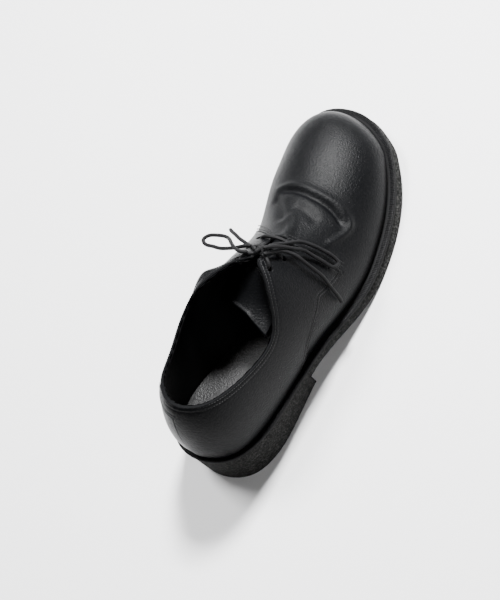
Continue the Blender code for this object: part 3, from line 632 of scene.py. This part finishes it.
def rim_way(row, sign):
    """Return the way at which the upper ends: its collar's rim, then its facing's edge."""
    side = COLLAR["medial"] if sign < 0 else COLLAR["lateral"]
    rim = spline_weights(COLLAR["row"], np.minimum(row, FACING_TOP_ROW)) @ side
    facing = facing_way(row, sign)
    return np.where(row < FACING_TOP_ROW, np.minimum(rim, facing), facing)


# One line for each crease of the vamp: height and half width in millimetres, then the places it runs through.
CREASES = [
    (1.3, 3.4, [(8.66, -0.537), (8.56, -0.319), (8.63, -0.175), (8.69, -0.075), (8.63, 0.100), (8.56, 0.275),
                (8.52, 0.384), (8.36, 0.470), (8.20, 0.530)]),
    (-3.0, 2.6, [(8.44, -0.330), (8.49, -0.200), (8.52, -0.081), (8.46, 0.094), (8.38, 0.244), (8.24, 0.361),
                 (8.06, 0.446), (7.86, 0.455)]),
    (0.5, 3.0, [(8.26, -0.240), (8.27, -0.040), (8.21, 0.100), (8.09, 0.231), (7.92, 0.340)]),
    (1.5, 2.4, [(8.40, 0.470), (8.22, 0.535), (7.98, 0.540), (7.70, 0.505), (7.40, 0.455), (7.15, 0.410)]),
    (-1.2, 4.0, [(8.02, -0.05), (7.90, 0.12), (7.70, 0.28)]),
    (1.6, 3.4, [(7.77, -0.069), (7.47, 0.025), (7.10, 0.044), (6.73, 0.044)]),
    (-1.6, 3.8, [(8.33, -0.350), (7.90, -0.181), (7.37, -0.094)]),
]


def crease_height(points):
    """Return the creases' height: each is a bell curve of the distance to its line, faded at its ends."""
    total = np.zeros(len(points))
    for height, half_width, places in CREASES:
        places = np.array(places)
        at = np.linspace(0.0, len(places) - 1.0, 70)
        line = spline_weights(np.arange(len(places)), at) @ places
        line = last_point(line[:, 0], line[:, 1])
        apart = np.linalg.norm(points[:, None] - line[None], axis=2)
        share = at[apart.argmin(axis=1)] / at[-1]
        fade = smooth(share / CREASE_FADE) * smooth((1.0 - share) / CREASE_FADE)
        total += 0.001 * height * fade * np.exp(-(apart.min(axis=1) / (0.001 * half_width)) ** 2)
    return total


def collar_swell(row, across):
    """Return the inner quarter's swell: a bell along the rows times a bell below the rim."""
    below = (SWELL_BELOW_RIM - rim_way(row, -1.0) + 1.0 + across) / SWELL_WAYS
    along = (row - SWELL_ROW) / SWELL_ROWS
    fade = smooth((SWELL_END_ROW - row) / (SWELL_END_ROW - SWELL_ROW))
    return np.where(across < 0, SWELL_HEIGHT * fade * np.exp(-below ** 2 - along ** 2), 0.0)


def raise_skin(row, across, lift):
    """Return points at a height above the last, its swell and its creases, along the last's normal."""
    base = last_point(row, across)
    crease = crease_height(base.reshape(-1, 3)).reshape(base.shape[:-1])
    return base + last_normal(row, across) * (crease + collar_swell(row, across) + lift)[..., None]


def edged(count, length, steps=EDGE_STEPS):
    """Return shares from 0 to 1 for each length: the edge steps at both ends and even steps between."""
    near = steps / np.asarray(length, float)[..., None]
    even = np.linspace(0.0, 1.0, count)[1:-1]
    inside = near[..., -1:] + (1.0 - 2 * near[..., -1:]) * even
    return np.concatenate([near, inside, 1.0 - near[..., ::-1]], axis=-1)


def from_edge(points, border):
    """Return each point's distance from the nearest point of a border."""
    flat = points.reshape(-1, 3)
    parts = [np.linalg.norm(part[:, None] - border[None], axis=2).min(axis=1)
             for part in np.array_split(flat, max(1, len(flat) // 4000))]
    return np.concatenate(parts).reshape(points.shape[:-1])


def quarter_round(distance, radius):
    """Return the height of a quarter circle's arc above its edge, as a share of the radius."""
    return np.sqrt(1.0 - (1.0 - np.clip(distance / radius, 0.0, 1.0)) ** 2)


def leather_paint(root):
    """Black calf: fine pores, soft blotches of wax, wrinkles where the vamp bends, dull cut edges."""
    grain = root.cells(0.00075)
    pores = root.noise(0.0005, 3.0, 0.6)
    drawn = root.noise(0.009, 3.0, 0.6)
    flexed = root.noise(0.0022, 3.0, 0.65) * root.attribute("flex")
    nap = root.noise(0.0013, 2.0, 0.6)
    cut = 1.0 - root.attribute("edge").step(0.0004, 0.0011)
    return {
        "Base Color": drawn.colours((0.0009, 0.0010, 0.0012), (0.0016, 0.0017, 0.0020)),
        "Roughness": 0.25 + drawn * 0.08 + pores * 0.10 + root.attribute("flex") * 0.16 + cut * 0.50,
        "Normal": (grain * 0.4 + pores * 1.2 + nap * 2.8 + flexed * 1.5).bump(0.00015, 0.9),
    }


def lining_paint(root):
    """Smooth black lining leather with little gloss."""
    pores = root.noise(0.0006, 3.0, 0.6)
    rubbed = root.noise(0.02, 3.0, 0.6)
    return {
        "Base Color": rubbed.colours((0.0012, 0.0012, 0.0013), (0.0026, 0.0026, 0.0028)),
        "Roughness": 0.42 + rubbed * 0.2,
        "Normal": (pores + root.noise(0.004, 2.0) * 1.5).bump(0.00012, 0.6),
    }


def close_shell(outer, inner, faces):
    """Return the points and faces of two skins that meet at their edge."""
    points = np.vstack([outer, inner])
    return points, np.vstack([faces, faces[:, ::-1] + len(outer)])


leather = finish_material("black_calf", {"Specular IOR Level": 0.055}, leather_paint)
lining = finish_material("black_lining", {"Specular IOR Level": 0.08}, lining_paint)
near_front = EDGE_STEPS * ROWS_PER_METRE
upper_rows = np.concatenate([
    np.linspace(0.0, FACING_FRONT_ROW - 0.1, COLLAR_ROW_COUNT), FACING_FRONT_ROW - near_front[3:0:-1],
    FACING_FRONT_ROW + near_front,
    np.linspace(FACING_FRONT_ROW + 0.14, LAST_ROW - TIP_STEPS[0], TOE_ROW_COUNT), LAST_ROW - TIP_STEPS[1:]])
patches, row_at, across_at, start = [], [], [], 0
for sign in (-1.0, 1.0):
    rim = rim_way(upper_rows, sign)
    ribs = last_point(upper_rows[:, None], sign * (1.0 - rim[:, None] * np.linspace(0.0, 1.0, 9)))
    girth = np.linalg.norm(np.diff(ribs, axis=1), axis=2).sum(axis=1)
    way = rim[:, None] * edged(VAMP_WAY_COUNT, np.maximum(girth, LEAST_GIRTH))
    row_at.append(np.repeat(upper_rows, way.shape[1]))
    across_at.append((sign * (1.0 - way)).ravel())
    patches.append(grid_faces(*way.shape)[:, ::(1 if sign > 0 else -1)] + start)
    start += way.size
front_rows = upper_rows[upper_rows >= FACING_FRONT_ROW]
bridge = np.linspace(rim_way(front_rows[:1], -1.0)[0] - 1.0, 1.0 - rim_way(front_rows[:1], 1.0)[0], 9)
row_at.append(np.repeat(front_rows, len(bridge)))
across_at.append(np.tile(bridge, len(front_rows)))
patches.append(grid_faces(len(front_rows), len(bridge)) + start)
row_at, across_at = np.concatenate(row_at), np.concatenate(across_at)
border_rows = np.linspace(0.0, FACING_FRONT_ROW, BORDER_COUNT)
feather_rows = np.linspace(0.0, LAST_ROW, BORDER_COUNT)
borders = np.vstack([
    *[last_point(border_rows, sign * (1.0 - rim_way(border_rows, sign))) for sign in (-1.0, 1.0)],
    *[last_point(feather_rows, sign) for sign in (-1.0, 1.0)],
    last_point(FACING_FRONT_ROW, bridge), last_point(LAST_ROW, np.linspace(-1.0, 1.0, 200))])
base = last_point(row_at, across_at)
edge = from_edge(base, borders)
swell = WALL / 2 * quarter_round(edge, WALL / 2)
outer = raise_skin(row_at, across_at, swell - WALL / 2)
inner = raise_skin(row_at, across_at, -swell - WALL / 2)
flex = np.exp(-((row_at - FLEX_ROW) / FLEX_ROWS) ** 2 - (across_at / FLEX_WAYS) ** 2)
upper_points, upper_faces = close_shell(outer, inner, np.vstack(patches))
vamp = add_mesh("vamp", upper_points - CENTRE, upper_faces, leather,
                {"flex": np.tile(flex, 2), "edge": np.tile(edge, 2)})
vamp.data.materials.append(lining)
inside = np.arange(len(upper_faces)) >= len(upper_faces) // 2
vamp.data.polygons.foreach_set("material_index", inside.astype(np.int32))
orient(vamp)
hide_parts("upper")
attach(vamp, "root")

# Quarters: two pieces of the same leather stitched over the vamp, with squared fronts at the throat.
# The outer one laps over the inner one at the centre of the back, with a small stitched tab.
BACK_STEP = 0.0008
BACK_STEP_ROWS = 2.0
QUARTER_COUNTS = (140, 44)
QUARTER_LENGTH = 0.190
QUARTER_HEIGHT = 0.075
ROW_LENGTH = 0.025
WAY_LENGTH = 0.085
FRONT_BACKSET = 0.05
FRONT_SLANT_INNER = 1.05
FRONT_SLANT_OUTER = 0.10
FRONT_FOOT_ACROSS = 0.65
FRONT_TOP_ACROSS = 0.02
SEAM = table("row way", [
    (0.0, 0.300), (2.0, 0.220), (3.4, 0.080), (3.9, 0.035), (4.1, 0.110), (4.4, 0.250), (4.8, 0.320),
    (5.2, 0.350), (6.0, 0.355), (6.85, 0.355), (8.0, 0.345), (14.0, 0.330),
])
SEAM_START_ROW = 3.86
QUARTER_SINK = 0.00015
INNER_CORNER_RADIUS = 0.0045
TAB_COUNTS = (34, 16)
TAB_LENGTH = 0.034
TAB_HEIGHT = 0.016
TAB_ROW = 1.25
TAB_START_ROW = 0.45
TAB_RISE_ROWS = 0.35
TAB_WAY = 0.80
TAB_RADIUS = 0.30
TAB_TIP_SHARE = 0.42
TAB_BED = 0.0004
THREAD_PITCH = 0.0021
THREAD_SIZE = (0.00082, 0.00034, 0.00030)
EDGE_ROWS = (0.0016, 0.0043)
GROOVE_DEPTH = 0.00030
GROOVE_WIDTH = 0.00050
QUARTER_STEPS = 0.001 * np.array([0.0, 0.12, 0.4, 0.8, 1.2, 1.6, 2.0, 2.5, 3.2, 3.8, 4.3, 4.8, 5.5])


def seam_way(row, sign):
    """Return the way of a quarter's lower edge: the foot behind the seam's start, then the seam."""
    seam = spline_weights(SEAM["row"], row) @ SEAM["way"] * rim_way(row, sign)
    return seam * smooth((row - SEAM_START_ROW + 0.05) / 0.12)


def front_row(across, sign):
    """Return the row of a quarter's front edge, which slants forward away from the ridge."""
    slant = FRONT_SLANT_INNER if sign < 0 else FRONT_SLANT_OUTER
    return FACING_FRONT_ROW - FRONT_BACKSET + slant * np.abs(across)


def quarter_places(rows, ways, sign):
    """Return rows and shares across for shares of a quarter's length and height.

    The length runs from the back seam to the front edge and the height from the lower edge to the
    rim. The inner quarter's throat corner is cut back by a quarter circle.
    """
    front = front_row(FRONT_FOOT_ACROSS + (FRONT_TOP_ACROSS - FRONT_FOOT_ACROSS) * ways, sign)
    row = rows * front
    top = rim_way(row, sign)
    if sign < 0:
        near = np.clip(1.0 - (front - row) * ROW_LENGTH / INNER_CORNER_RADIUS, 0.0, 1.0)
        top = top - INNER_CORNER_RADIUS * (1.0 - np.sqrt(1.0 - near ** 2)) / WAY_LENGTH
    low = seam_way(row, sign)
    return row, sign * (1.0 - low - (top - low) * ways)


def add_patch(name, row, across, base, height, radius, flip, stitched=None):
    """Add a leather patch on the last: a closed shell whose edge is a quarter round of the height.

    Beside its stitched borders the leather is drawn down into a soft groove under each row of thread.
    """
    places = last_point(row, across)
    border = np.concatenate([places[0], places[-1], places[:, 0], places[:, -1]])
    edge = from_edge(places, border)
    swell = height * quarter_round(edge, radius)
    if stitched is not None:
        seam = from_edge(places, stitched)
        for gap in EDGE_ROWS:
            swell = swell - GROOVE_DEPTH * np.exp(-((seam - gap) / GROOVE_WIDTH) ** 2)
    outer = raise_skin(row, across, base + swell).reshape(-1, 3)
    inner = raise_skin(row, across, np.full_like(swell, base)).reshape(-1, 3)
    points, faces = close_shell(outer, inner, grid_faces(*row.shape)[:, ::flip])
    piece = add_mesh(name, points - CENTRE, faces, leather,
                     {"flex": np.zeros(len(points)), "edge": np.tile(edge.ravel(), 2)})
    orient(piece)
    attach(piece, "root")


def inset_route(row, across, distance):
    """Return a route moved sideways over the last by a distance: its slopes turn metres into shares."""
    ahead, sideways = last_slopes(row, across)
    along = unit(np.gradient(last_point(row, across), axis=0))
    inward = unit(np.cross(unit(np.cross(sideways, ahead)), along)) * distance
    slopes = np.stack([ahead, sideways], axis=-1)
    change = np.einsum("nij,nj->ni", np.linalg.pinv(slopes), inward)
    return row + change[:, 0], across + change[:, 1]


def thread_bead():
    """Return the points and faces of one stitch: a short bead of unit half sizes."""
    ends = np.array([-1.0, -0.72, 0.0, 0.72, 1.0])
    turn = np.linspace(0.0, 2 * np.pi, 6, endpoint=False)
    wide = np.sqrt(1.0 - 0.98 * ends ** 2)
    x = np.repeat(ends, 6)
    y, z = (np.outer(wide, f(turn)).ravel() for f in (np.cos, np.sin))
    return np.column_stack([x, y, z]), grid_faces(5, 6, wrap_columns=True)


def stitches(routes, lift):
    """Return the joined beads that lie along routes of rows and shares across, a pitch apart."""
    bead, bead_faces = thread_bead()
    clouds, faces, start = [], [], 0
    for row, across in routes:
        path = last_point(row, across)
        reach = lengths_along(path)
        at = np.arange(THREAD_PITCH / 2, reach[-1], THREAD_PITCH)
        row_at, across_at = np.interp(at, reach, row), np.interp(at, reach, across)
        middle = raise_skin(row_at, across_at, np.full(len(at), lift))
        normal = last_normal(row_at, across_at)
        along = unit(np.gradient(middle, axis=0))
        axes = np.stack([along, np.cross(normal, along), normal], axis=1)
        cloud = middle[:, None] + np.einsum("kc,ncd->nkd", bead * THREAD_SIZE, axes)
        clouds.append(cloud.reshape(-1, 3))
        shifts = start + len(bead) * np.arange(len(at))[:, None, None]
        faces.append((bead_faces[None] + shifts).reshape(-1, 4))
        start += cloud.shape[0] * cloud.shape[1]
    return np.vstack(clouds), np.vstack(faces)


def thread_paint(root):
    """Waxed black thread."""
    return {"Roughness": 0.45 + root.noise(0.002) * 0.2}


thread = finish_material("black_thread", {"Base Color": (0.0030, 0.0030, 0.0034, 1.0),
                                          "Specular IOR Level": 0.2}, thread_paint)
for name, sign in (("quarter_inner", -1.0), ("quarter_outer", 1.0)):
    rows = edged(QUARTER_COUNTS[0], QUARTER_LENGTH, QUARTER_STEPS)[:, None]
    ways = edged(QUARTER_COUNTS[1], QUARTER_HEIGHT, QUARTER_STEPS)[None, :]
    row, across = quarter_places(rows + 0 * ways, ways + 0 * rows, sign)
    behind = BACK_STEP * (1.0 - smooth(row / BACK_STEP_ROWS)) * (sign > 0)
    places = last_point(row, across)
    lower = places[:, 0][row[:, 0] > SEAM_START_ROW + 0.1]
    add_patch(name, row, across, -QUARTER_SINK, QUARTER_STEP + QUARTER_SINK + behind, QUARTER_STEP, int(sign),
              np.concatenate([lower, places[-1], places[:, -1]]))

# The tab: it starts flush on the outer quarter and ends in a rounded tip on the inner one.
tab_u = edged(TAB_COUNTS[0], TAB_LENGTH)[:, None]
tab_v = edged(TAB_COUNTS[1], TAB_HEIGHT)[None, :]
tab_row = TAB_START_ROW - (TAB_START_ROW + TAB_ROW) * tab_u + 0 * tab_v
tip_share = np.clip((tab_u - (1.0 - TAB_RADIUS)) / TAB_RADIUS, 0.0, 1.0)
tab_low = TAB_WAY + (1.0 - TAB_WAY) * TAB_TIP_SHARE * (1.0 - np.sqrt(1.0 - tip_share ** 2))
tab_top = np.where(tab_row > 0, rim_way(np.abs(tab_row), 1.0), rim_way(np.abs(tab_row), -1.0))
tab_across = 1.0 - tab_top * (tab_low + (1.0 - tab_low) * tab_v)
tab_rise = smooth((TAB_START_ROW - tab_row) / TAB_RISE_ROWS)
tab_places = last_point(tab_row, tab_across)
add_patch("back_tab", tab_row, tab_across, QUARTER_STEP - TAB_BED,
          0.0001 + (BACK_STEP + TAB_BED) * tab_rise, BACK_STEP, -1,
          np.concatenate([tab_places[:, 0], tab_places[-1], tab_places[:, -1]]))

# Threads: double rows along fronts, lower seams and collar, and a single row on the tab.
routes = []
for sign in (-1.0, 1.0):
    lower = np.linspace(SEAM_START_ROW + 0.12, FACING_FRONT_ROW - 0.12, 220)
    high = np.linspace(0.06, 0.97, 90)
    top = np.linspace(0.06, FACING_FRONT_ROW - 0.25, 500)
    edges = [(lower, sign * (1.0 - seam_way(lower, sign)), sign),
             (*quarter_places(np.ones(len(high)), high, sign), -sign),
             (top, sign * (1.0 - rim_way(top, sign)), -sign)]
    for row, across, turn in edges:
        routes += [inset_route(row, across, turn * gap) for gap in EDGE_ROWS]
tab_routes = [inset_route(tab_row[8:-6, 0], tab_across[8:-6, 0], -EDGE_ROWS[0]),
              inset_route(tab_row[-1, 4:-4], tab_across[-1, 4:-4], EDGE_ROWS[0])]
for name, lines, lift in (("quarter_threads", routes, QUARTER_STEP),
                          ("tab_threads", tab_routes, QUARTER_STEP + BACK_STEP)):
    thread_points, thread_faces = stitches(lines, lift - 0.0001)
    threads = add_mesh(name, thread_points - CENTRE, thread_faces, thread)
    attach(threads, "root")

# Tongue: a single piece of leather under the facings, its free end standing inside the collar.
TONGUE_COUNTS = (90, 56)
TONGUE_LENGTH = 0.085
TONGUE_WIDTH = 0.06
TONGUE_THICKNESS = 0.0018
TONGUE_FRONT_ROW = 7.4
TONGUE_BEND_ROW = 6.2
TONGUE_END_ROW = 4.40
TONGUE_HALF_WAY = 0.32
TONGUE_DROP = 0.029
TONGUE_SLANT = 1.2
TONGUE_FLAT = 0.45
TONGUE_LIP = 0.0009
LIP_INSET = 0.0013
LIP_WIDTH = 0.0009
RIPPLE_HEIGHT = 0.0004
RIPPLE_START_ROW = 5.4
tongue_across = TONGUE_HALF_WAY * (2.0 * edged(TONGUE_COUNTS[1], TONGUE_WIDTH) - 1.0)[None, :]
tongue_end = TONGUE_END_ROW - TONGUE_SLANT * tongue_across
tongue_rows = edged(TONGUE_COUNTS[0], TONGUE_LENGTH)[:, None]
tongue_row = tongue_end + (TONGUE_FRONT_ROW - tongue_end) * tongue_rows
tongue_row, tongue_across = np.broadcast_arrays(tongue_row, tongue_across)
sink = smooth((TONGUE_BEND_ROW - tongue_row) / (TONGUE_BEND_ROW - TONGUE_END_ROW))[..., None]
spine = last_point(tongue_row, tongue_across) - np.array([0.0, 0.0, TONGUE_DROP]) * sink
chord_share = (tongue_across[..., None] / TONGUE_HALF_WAY + 1.0) / 2.0
chord = spine[:, :1] + (spine[:, -1:] - spine[:, :1]) * chord_share
spine = chord + (spine - chord) * (1.0 - TONGUE_FLAT * sink)
tongue_normal = unit(np.cross(np.gradient(spine, axis=1), np.gradient(spine, axis=0)))
tongue_edge = from_edge(spine, np.concatenate([spine[0], spine[-1], spine[:, 0], spine[:, -1]]))
tongue_round = TONGUE_THICKNESS / 2 * quarter_round(tongue_edge, TONGUE_THICKNESS / 2)
lip = TONGUE_LIP * np.exp(-((from_edge(spine, spine[0]) - LIP_INSET) / LIP_WIDTH) ** 2)
wave = np.sin(tongue_across * 21.0 + tongue_row * 3.0)
ripple = RIPPLE_HEIGHT * wave * smooth((RIPPLE_START_ROW - tongue_row) / 0.8)
under = WALL + 2 * GAP + TONGUE_THICKNESS / 2 - ripple
thick = tongue_round + lip * (tongue_edge > 0.0003)
tongue_top, tongue_back = ((spine + tongue_normal * (side * thick - under)[..., None]).reshape(-1, 3)
                           for side in (1.0, -1.0))
tongue_points, tongue_faces = close_shell(tongue_top, tongue_back, grid_faces(*tongue_row.shape))
tongue = add_mesh("tongue_leather", tongue_points - CENTRE, tongue_faces, leather,
                  {"flex": np.full(len(tongue_points), 0.5), "edge": np.full(len(tongue_points), 0.01)})
orient(tongue)
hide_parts("tongue")
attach(tongue, "root")

# Insole: the smooth leather sock on the bottom, with a soft sheen. Its plate has the true shape and
# stays, so only its leather is made here.


def sock_paint(root):
    """Black leather with a soft sheen and fine pores."""
    rubbed = root.noise(0.018, 3.0, 0.6)
    pores = root.noise(0.0007, 3.0, 0.6)
    return {
        "Base Color": rubbed.colours((0.0012, 0.0012, 0.0014), (0.0034, 0.0034, 0.0037)),
        "Roughness": 0.40 + rubbed * 0.22,
        "Normal": (pores * 1.5 + root.noise(0.0016, 2.0) * 2.5).bump(0.00020, 0.9),
    }


sock = finish_material("insole_leather", {"Specular IOR Level": 0.20}, sock_paint)
insole = bpy.data.objects["insole"]
insole.data.materials.clear()
insole.data.materials.append(sock)

# Laces: one round waxed cord, braided finely. Three straight bars cross the throat from hole to hole,
# and both free ends leave the knot between the upper two, with the bow's two loops.
LACE_DIAMETER = 0.0028
EYELET_DIAMETER = 0.0046
EYELET_COUNT = 3
EYELET_FIRST_ROW = 5.63
EYELET_PITCH = 0.0160
EYELET_INSET = 0.0118
EYELET_LINE = 0.74
KNOT_CENTRE = np.array([0.0119, -0.0069, 0.1028])
ROD_REACH = 0.006
BAR_DIP = 0.0046
BAR_BOW_ROWS = 0.24
KNOT_SIZES = (0.0034, 0.0026, 0.0017)
BRAID_PITCH = 0.0019
BRAID_STRANDS = 4
BOW_ROUTES = {
    "lace_loop_outer": [
        (0.0155, -0.0040, 0.1000), (0.0165, 0.0005, 0.0975), (0.0185, 0.0045, 0.0930),
        (0.0210, 0.0080, 0.0880), (0.0235, 0.0120, 0.0830), (0.0260, 0.0155, 0.0775),
        (0.0300, 0.0170, 0.0720), (0.0340, 0.0180, 0.0660), (0.0390, 0.0180, 0.0600),
        (0.0430, 0.0175, 0.0545), (0.0460, 0.0150, 0.0510), (0.0450, 0.0110, 0.0530),
        (0.0410, 0.0100, 0.0595), (0.0370, 0.0100, 0.0665), (0.0340, 0.0100, 0.0720),
        (0.0310, 0.0095, 0.0785), (0.0285, 0.0070, 0.0845), (0.0255, 0.0045, 0.0910),
        (0.0225, 0.0015, 0.0975), (0.0200, -0.0020, 0.1030), (0.0165, -0.0050, 0.1060),
    ],
    "lace_end_outer": [
        (0.0175, -0.0085, 0.1035), (0.0195, -0.0055, 0.1005), (0.0220, -0.0015, 0.0955),
        (0.0245, 0.0010, 0.0915), (0.0280, 0.0020, 0.0880), (0.0320, 0.0020, 0.0840),
        (0.0360, 0.0010, 0.0785), (0.0405, 0.0000, 0.0700), (0.0445, -0.0010, 0.0610),
        (0.0475, -0.0035, 0.0525), (0.0500, -0.0055, 0.0445), (0.0515, -0.0075, 0.0345),
    ],
    "lace_loop_inner": [
        (0.0070, -0.0050, 0.1055), (0.0000, -0.0060, 0.1035), (-0.0075, -0.0075, 0.1005),
        (-0.0150, -0.0080, 0.0970), (-0.0250, -0.0085, 0.0935), (-0.0340, -0.0075, 0.0910),
        (-0.0410, -0.0065, 0.0895), (-0.0440, -0.0035, 0.0890), (-0.0415, 0.0000, 0.0890),
        (-0.0365, 0.0015, 0.0895), (-0.0305, 0.0020, 0.0905), (-0.0230, 0.0010, 0.0930),
        (-0.0170, -0.0020, 0.0970), (-0.0120, -0.0055, 0.1010), (-0.0060, -0.0090, 0.1040),
        (0.0000, -0.0110, 0.1055), (0.0060, -0.0100, 0.1050),
    ],
    "lace_end_inner": [
        (0.0073, -0.0048, 0.1012), (0.0020, -0.0035, 0.1000), (-0.0050, -0.0010, 0.0980),
        (-0.0115, 0.0015, 0.0955), (-0.0175, 0.0045, 0.0925), (-0.0230, 0.0070, 0.0895),
        (-0.0275, 0.0095, 0.0870),
    ],
}


def cord_path(route, step=0.0008):
    """Return points a step apart on the smooth curve through a route."""
    route = np.array(route)
    reach = lengths_along(route)
    at = np.linspace(0.0, reach[-1], int(round(reach[-1] / step)) + 1)
    return spline_weights(reach, at) @ route


def cord_tube(name, path, material, sides=14, closed=False):
    """Add a round cord along a path: rings square to it, turned as little as possible, domed ends."""
    along = unit(np.gradient(path, axis=0))
    across = unit(np.cross(along[0], (0.3, 0.2, 0.9)))
    firsts = []
    for ahead in along:
        across = unit(across - ahead * (across @ ahead))
        firsts.append(across)
    firsts = np.array(firsts)
    seconds = np.cross(along, firsts)
    turn = np.linspace(0.0, 2 * np.pi, sides, endpoint=False)
    reach = lengths_along(path)
    radius = np.full(len(path), LACE_DIAMETER / 2)
    if not closed:
        radius *= quarter_round(np.minimum(reach, reach[-1] - reach) + 0.00002, LACE_DIAMETER / 2)
    ring = np.cos(turn)[None, :, None] * firsts[:, None] + np.sin(turn)[None, :, None] * seconds[:, None]
    points = path[:, None] + radius[:, None, None] * ring
    marks = {"along": np.repeat(reach, sides), "over": np.tile(np.cos(turn * BRAID_STRANDS), len(path)),
             "under": np.tile(np.sin(turn * BRAID_STRANDS), len(path))}
    faces = grid_faces(len(path), sides, wrap_rows=closed, wrap_columns=True)
    piece = add_mesh(name, points, faces, material, marks)
    orient(piece, fill=not closed)
    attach(piece, "root")
    return piece


def braid_paint(root):
    """A fine braid: two sets of strands wind round both ways, and their product is the weave."""
    wave = root.attribute("along") * (2.0 * math.pi / BRAID_PITCH)
    first = wave.sine() * root.attribute("over")
    second = (wave + math.pi / 2).sine() * root.attribute("under")
    weave = (first + second) * (first - second)
    return {
        "Base Color": weave.step(-0.6, 0.9).colours((0.0008, 0.0008, 0.0010), (0.0034, 0.0034, 0.0038)),
        "Roughness": 0.50 + root.noise(0.001) * 0.25,
        "Normal": (weave + root.noise(0.0003) * 0.4).bump(0.00018, 0.8),
    }


def eyelet_places():
    """Return each eyelet's row and signed share across, in a line along the facing, inner side first."""
    rows = np.linspace(EYELET_FIRST_ROW, FACING_FRONT_ROW, 60)
    places = []
    for sign in (-1.0, 1.0):
        line = last_point(rows, sign * (1.0 - EYELET_LINE))
        for k in range(EYELET_COUNT):
            row = np.interp(k * EYELET_PITCH, lengths_along(line), rows)
            ways = facing_way(row, sign) - np.linspace(0.0, 0.5, 60)
            down = lengths_along(last_point(row, sign * (1.0 - ways)))
            places.append((row, sign * (1.0 - np.interp(EYELET_INSET, down, ways))))
    return places


def punch_rods(places, sides=20):
    """Return one mesh of short rods, one square to the leather through each hole."""
    row, across = np.array(places).T
    middle, normal = last_point(row, across), last_normal(row, across)
    first = unit(np.cross(normal, (0.0, 1.0, 0.0)))
    turn = np.linspace(0.0, 2 * np.pi, sides, endpoint=False)[:, None]
    spoke = first[:, None] * np.cos(turn) + np.cross(normal, first)[:, None] * np.sin(turn)
    rim = middle[:, None] + spoke * EYELET_DIAMETER / 2
    ends = [rim + normal[:, None] * depth for depth in (-ROD_REACH, ROD_REACH)]
    points = np.stack(ends, axis=1).reshape(-1, 3)
    k = np.arange(sides)
    walls = grid_faces(2, sides, wrap_columns=True)
    faces = []
    for start in range(0, len(points), 2 * sides):
        faces += [*(walls + start).tolist(), (k[::-1] + start).tolist(), (k + sides + start).tolist()]
    mesh = bpy.data.meshes.new("rods")
    mesh.from_pydata((points - CENTRE).tolist(), [], faces)
    made = bpy.data.objects.new("rods", mesh)
    bpy.context.scene.collection.objects.link(made)
    return made


def punch(piece, rods):
    """Cut the rods out of a piece and keep the result as its own mesh."""
    cut = piece.modifiers.new("holes", "BOOLEAN")
    cut.operation, cut.solver, cut.object = "DIFFERENCE", "EXACT", rods
    depsgraph = bpy.context.evaluated_depsgraph_get()
    punched = bpy.data.meshes.new_from_object(piece.evaluated_get(depsgraph))
    piece.modifiers.clear()
    piece.data = punched


# The punched holes: three a side through vamp and quarter, with no metal in them.
eyelets = eyelet_places()
rods = punch_rods(eyelets)
for name in ("vamp", "quarter_inner", "quarter_outer"):
    punch(bpy.data.objects[name], rods)
bpy.data.objects.remove(rods, do_unlink=True)

# The bars: each dips into its two holes, and the first bows toward the toe under the knot.
braid = finish_material("waxed_braid", {"Specular IOR Level": 0.10}, braid_paint)
lace_lift = QUARTER_STEP + GAP + LACE_DIAMETER / 2
share = np.linspace(0.0, 1.0, 21)
from_middle = 2.0 * share - 1.0
for k in range(EYELET_COUNT):
    (row_in, across_in), (row_out, across_out) = eyelets[k], eyelets[k + EYELET_COUNT]
    row = row_in + (row_out - row_in) * share + BAR_BOW_ROWS * (1.0 - from_middle ** 2) * (k == 0)
    across = across_in + (across_out - across_in) * share
    bar = raise_skin(row, across, lace_lift - (lace_lift + BAR_DIP) * from_middle ** 8) - CENTRE
    piece = cord_tube(f"bar_{k + 1}", cord_path(bar), braid)
    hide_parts(f"lace_bar_{k + 1}")

# The knot: a trefoil, which crosses itself three times, tilted toward the toe.
knot_axes = np.array([unit(np.array([1.0, 0.0, -0.1])), (0.0, 0.8, -0.6), (0.0, 0.6, 0.8)])
angle = np.linspace(0.0, 2 * np.pi, 120, endpoint=False)
trefoil = np.column_stack([(np.sin(angle) + 2 * np.sin(2 * angle)) / 3.0,
                           (np.cos(angle) - 2 * np.cos(2 * angle)) / 3.0, -np.sin(3 * angle)]) * KNOT_SIZES
knot = cord_tube("knot", KNOT_CENTRE + trefoil @ knot_axes, braid, closed=True)
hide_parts("lace_knot")
for name, route in BOW_ROUTES.items():
    path = cord_path(route)
    piece = cord_tube(name + "_cord", path, braid)
    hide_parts(name)
    "knot" if "loop" in name else "bare"

low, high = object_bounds()
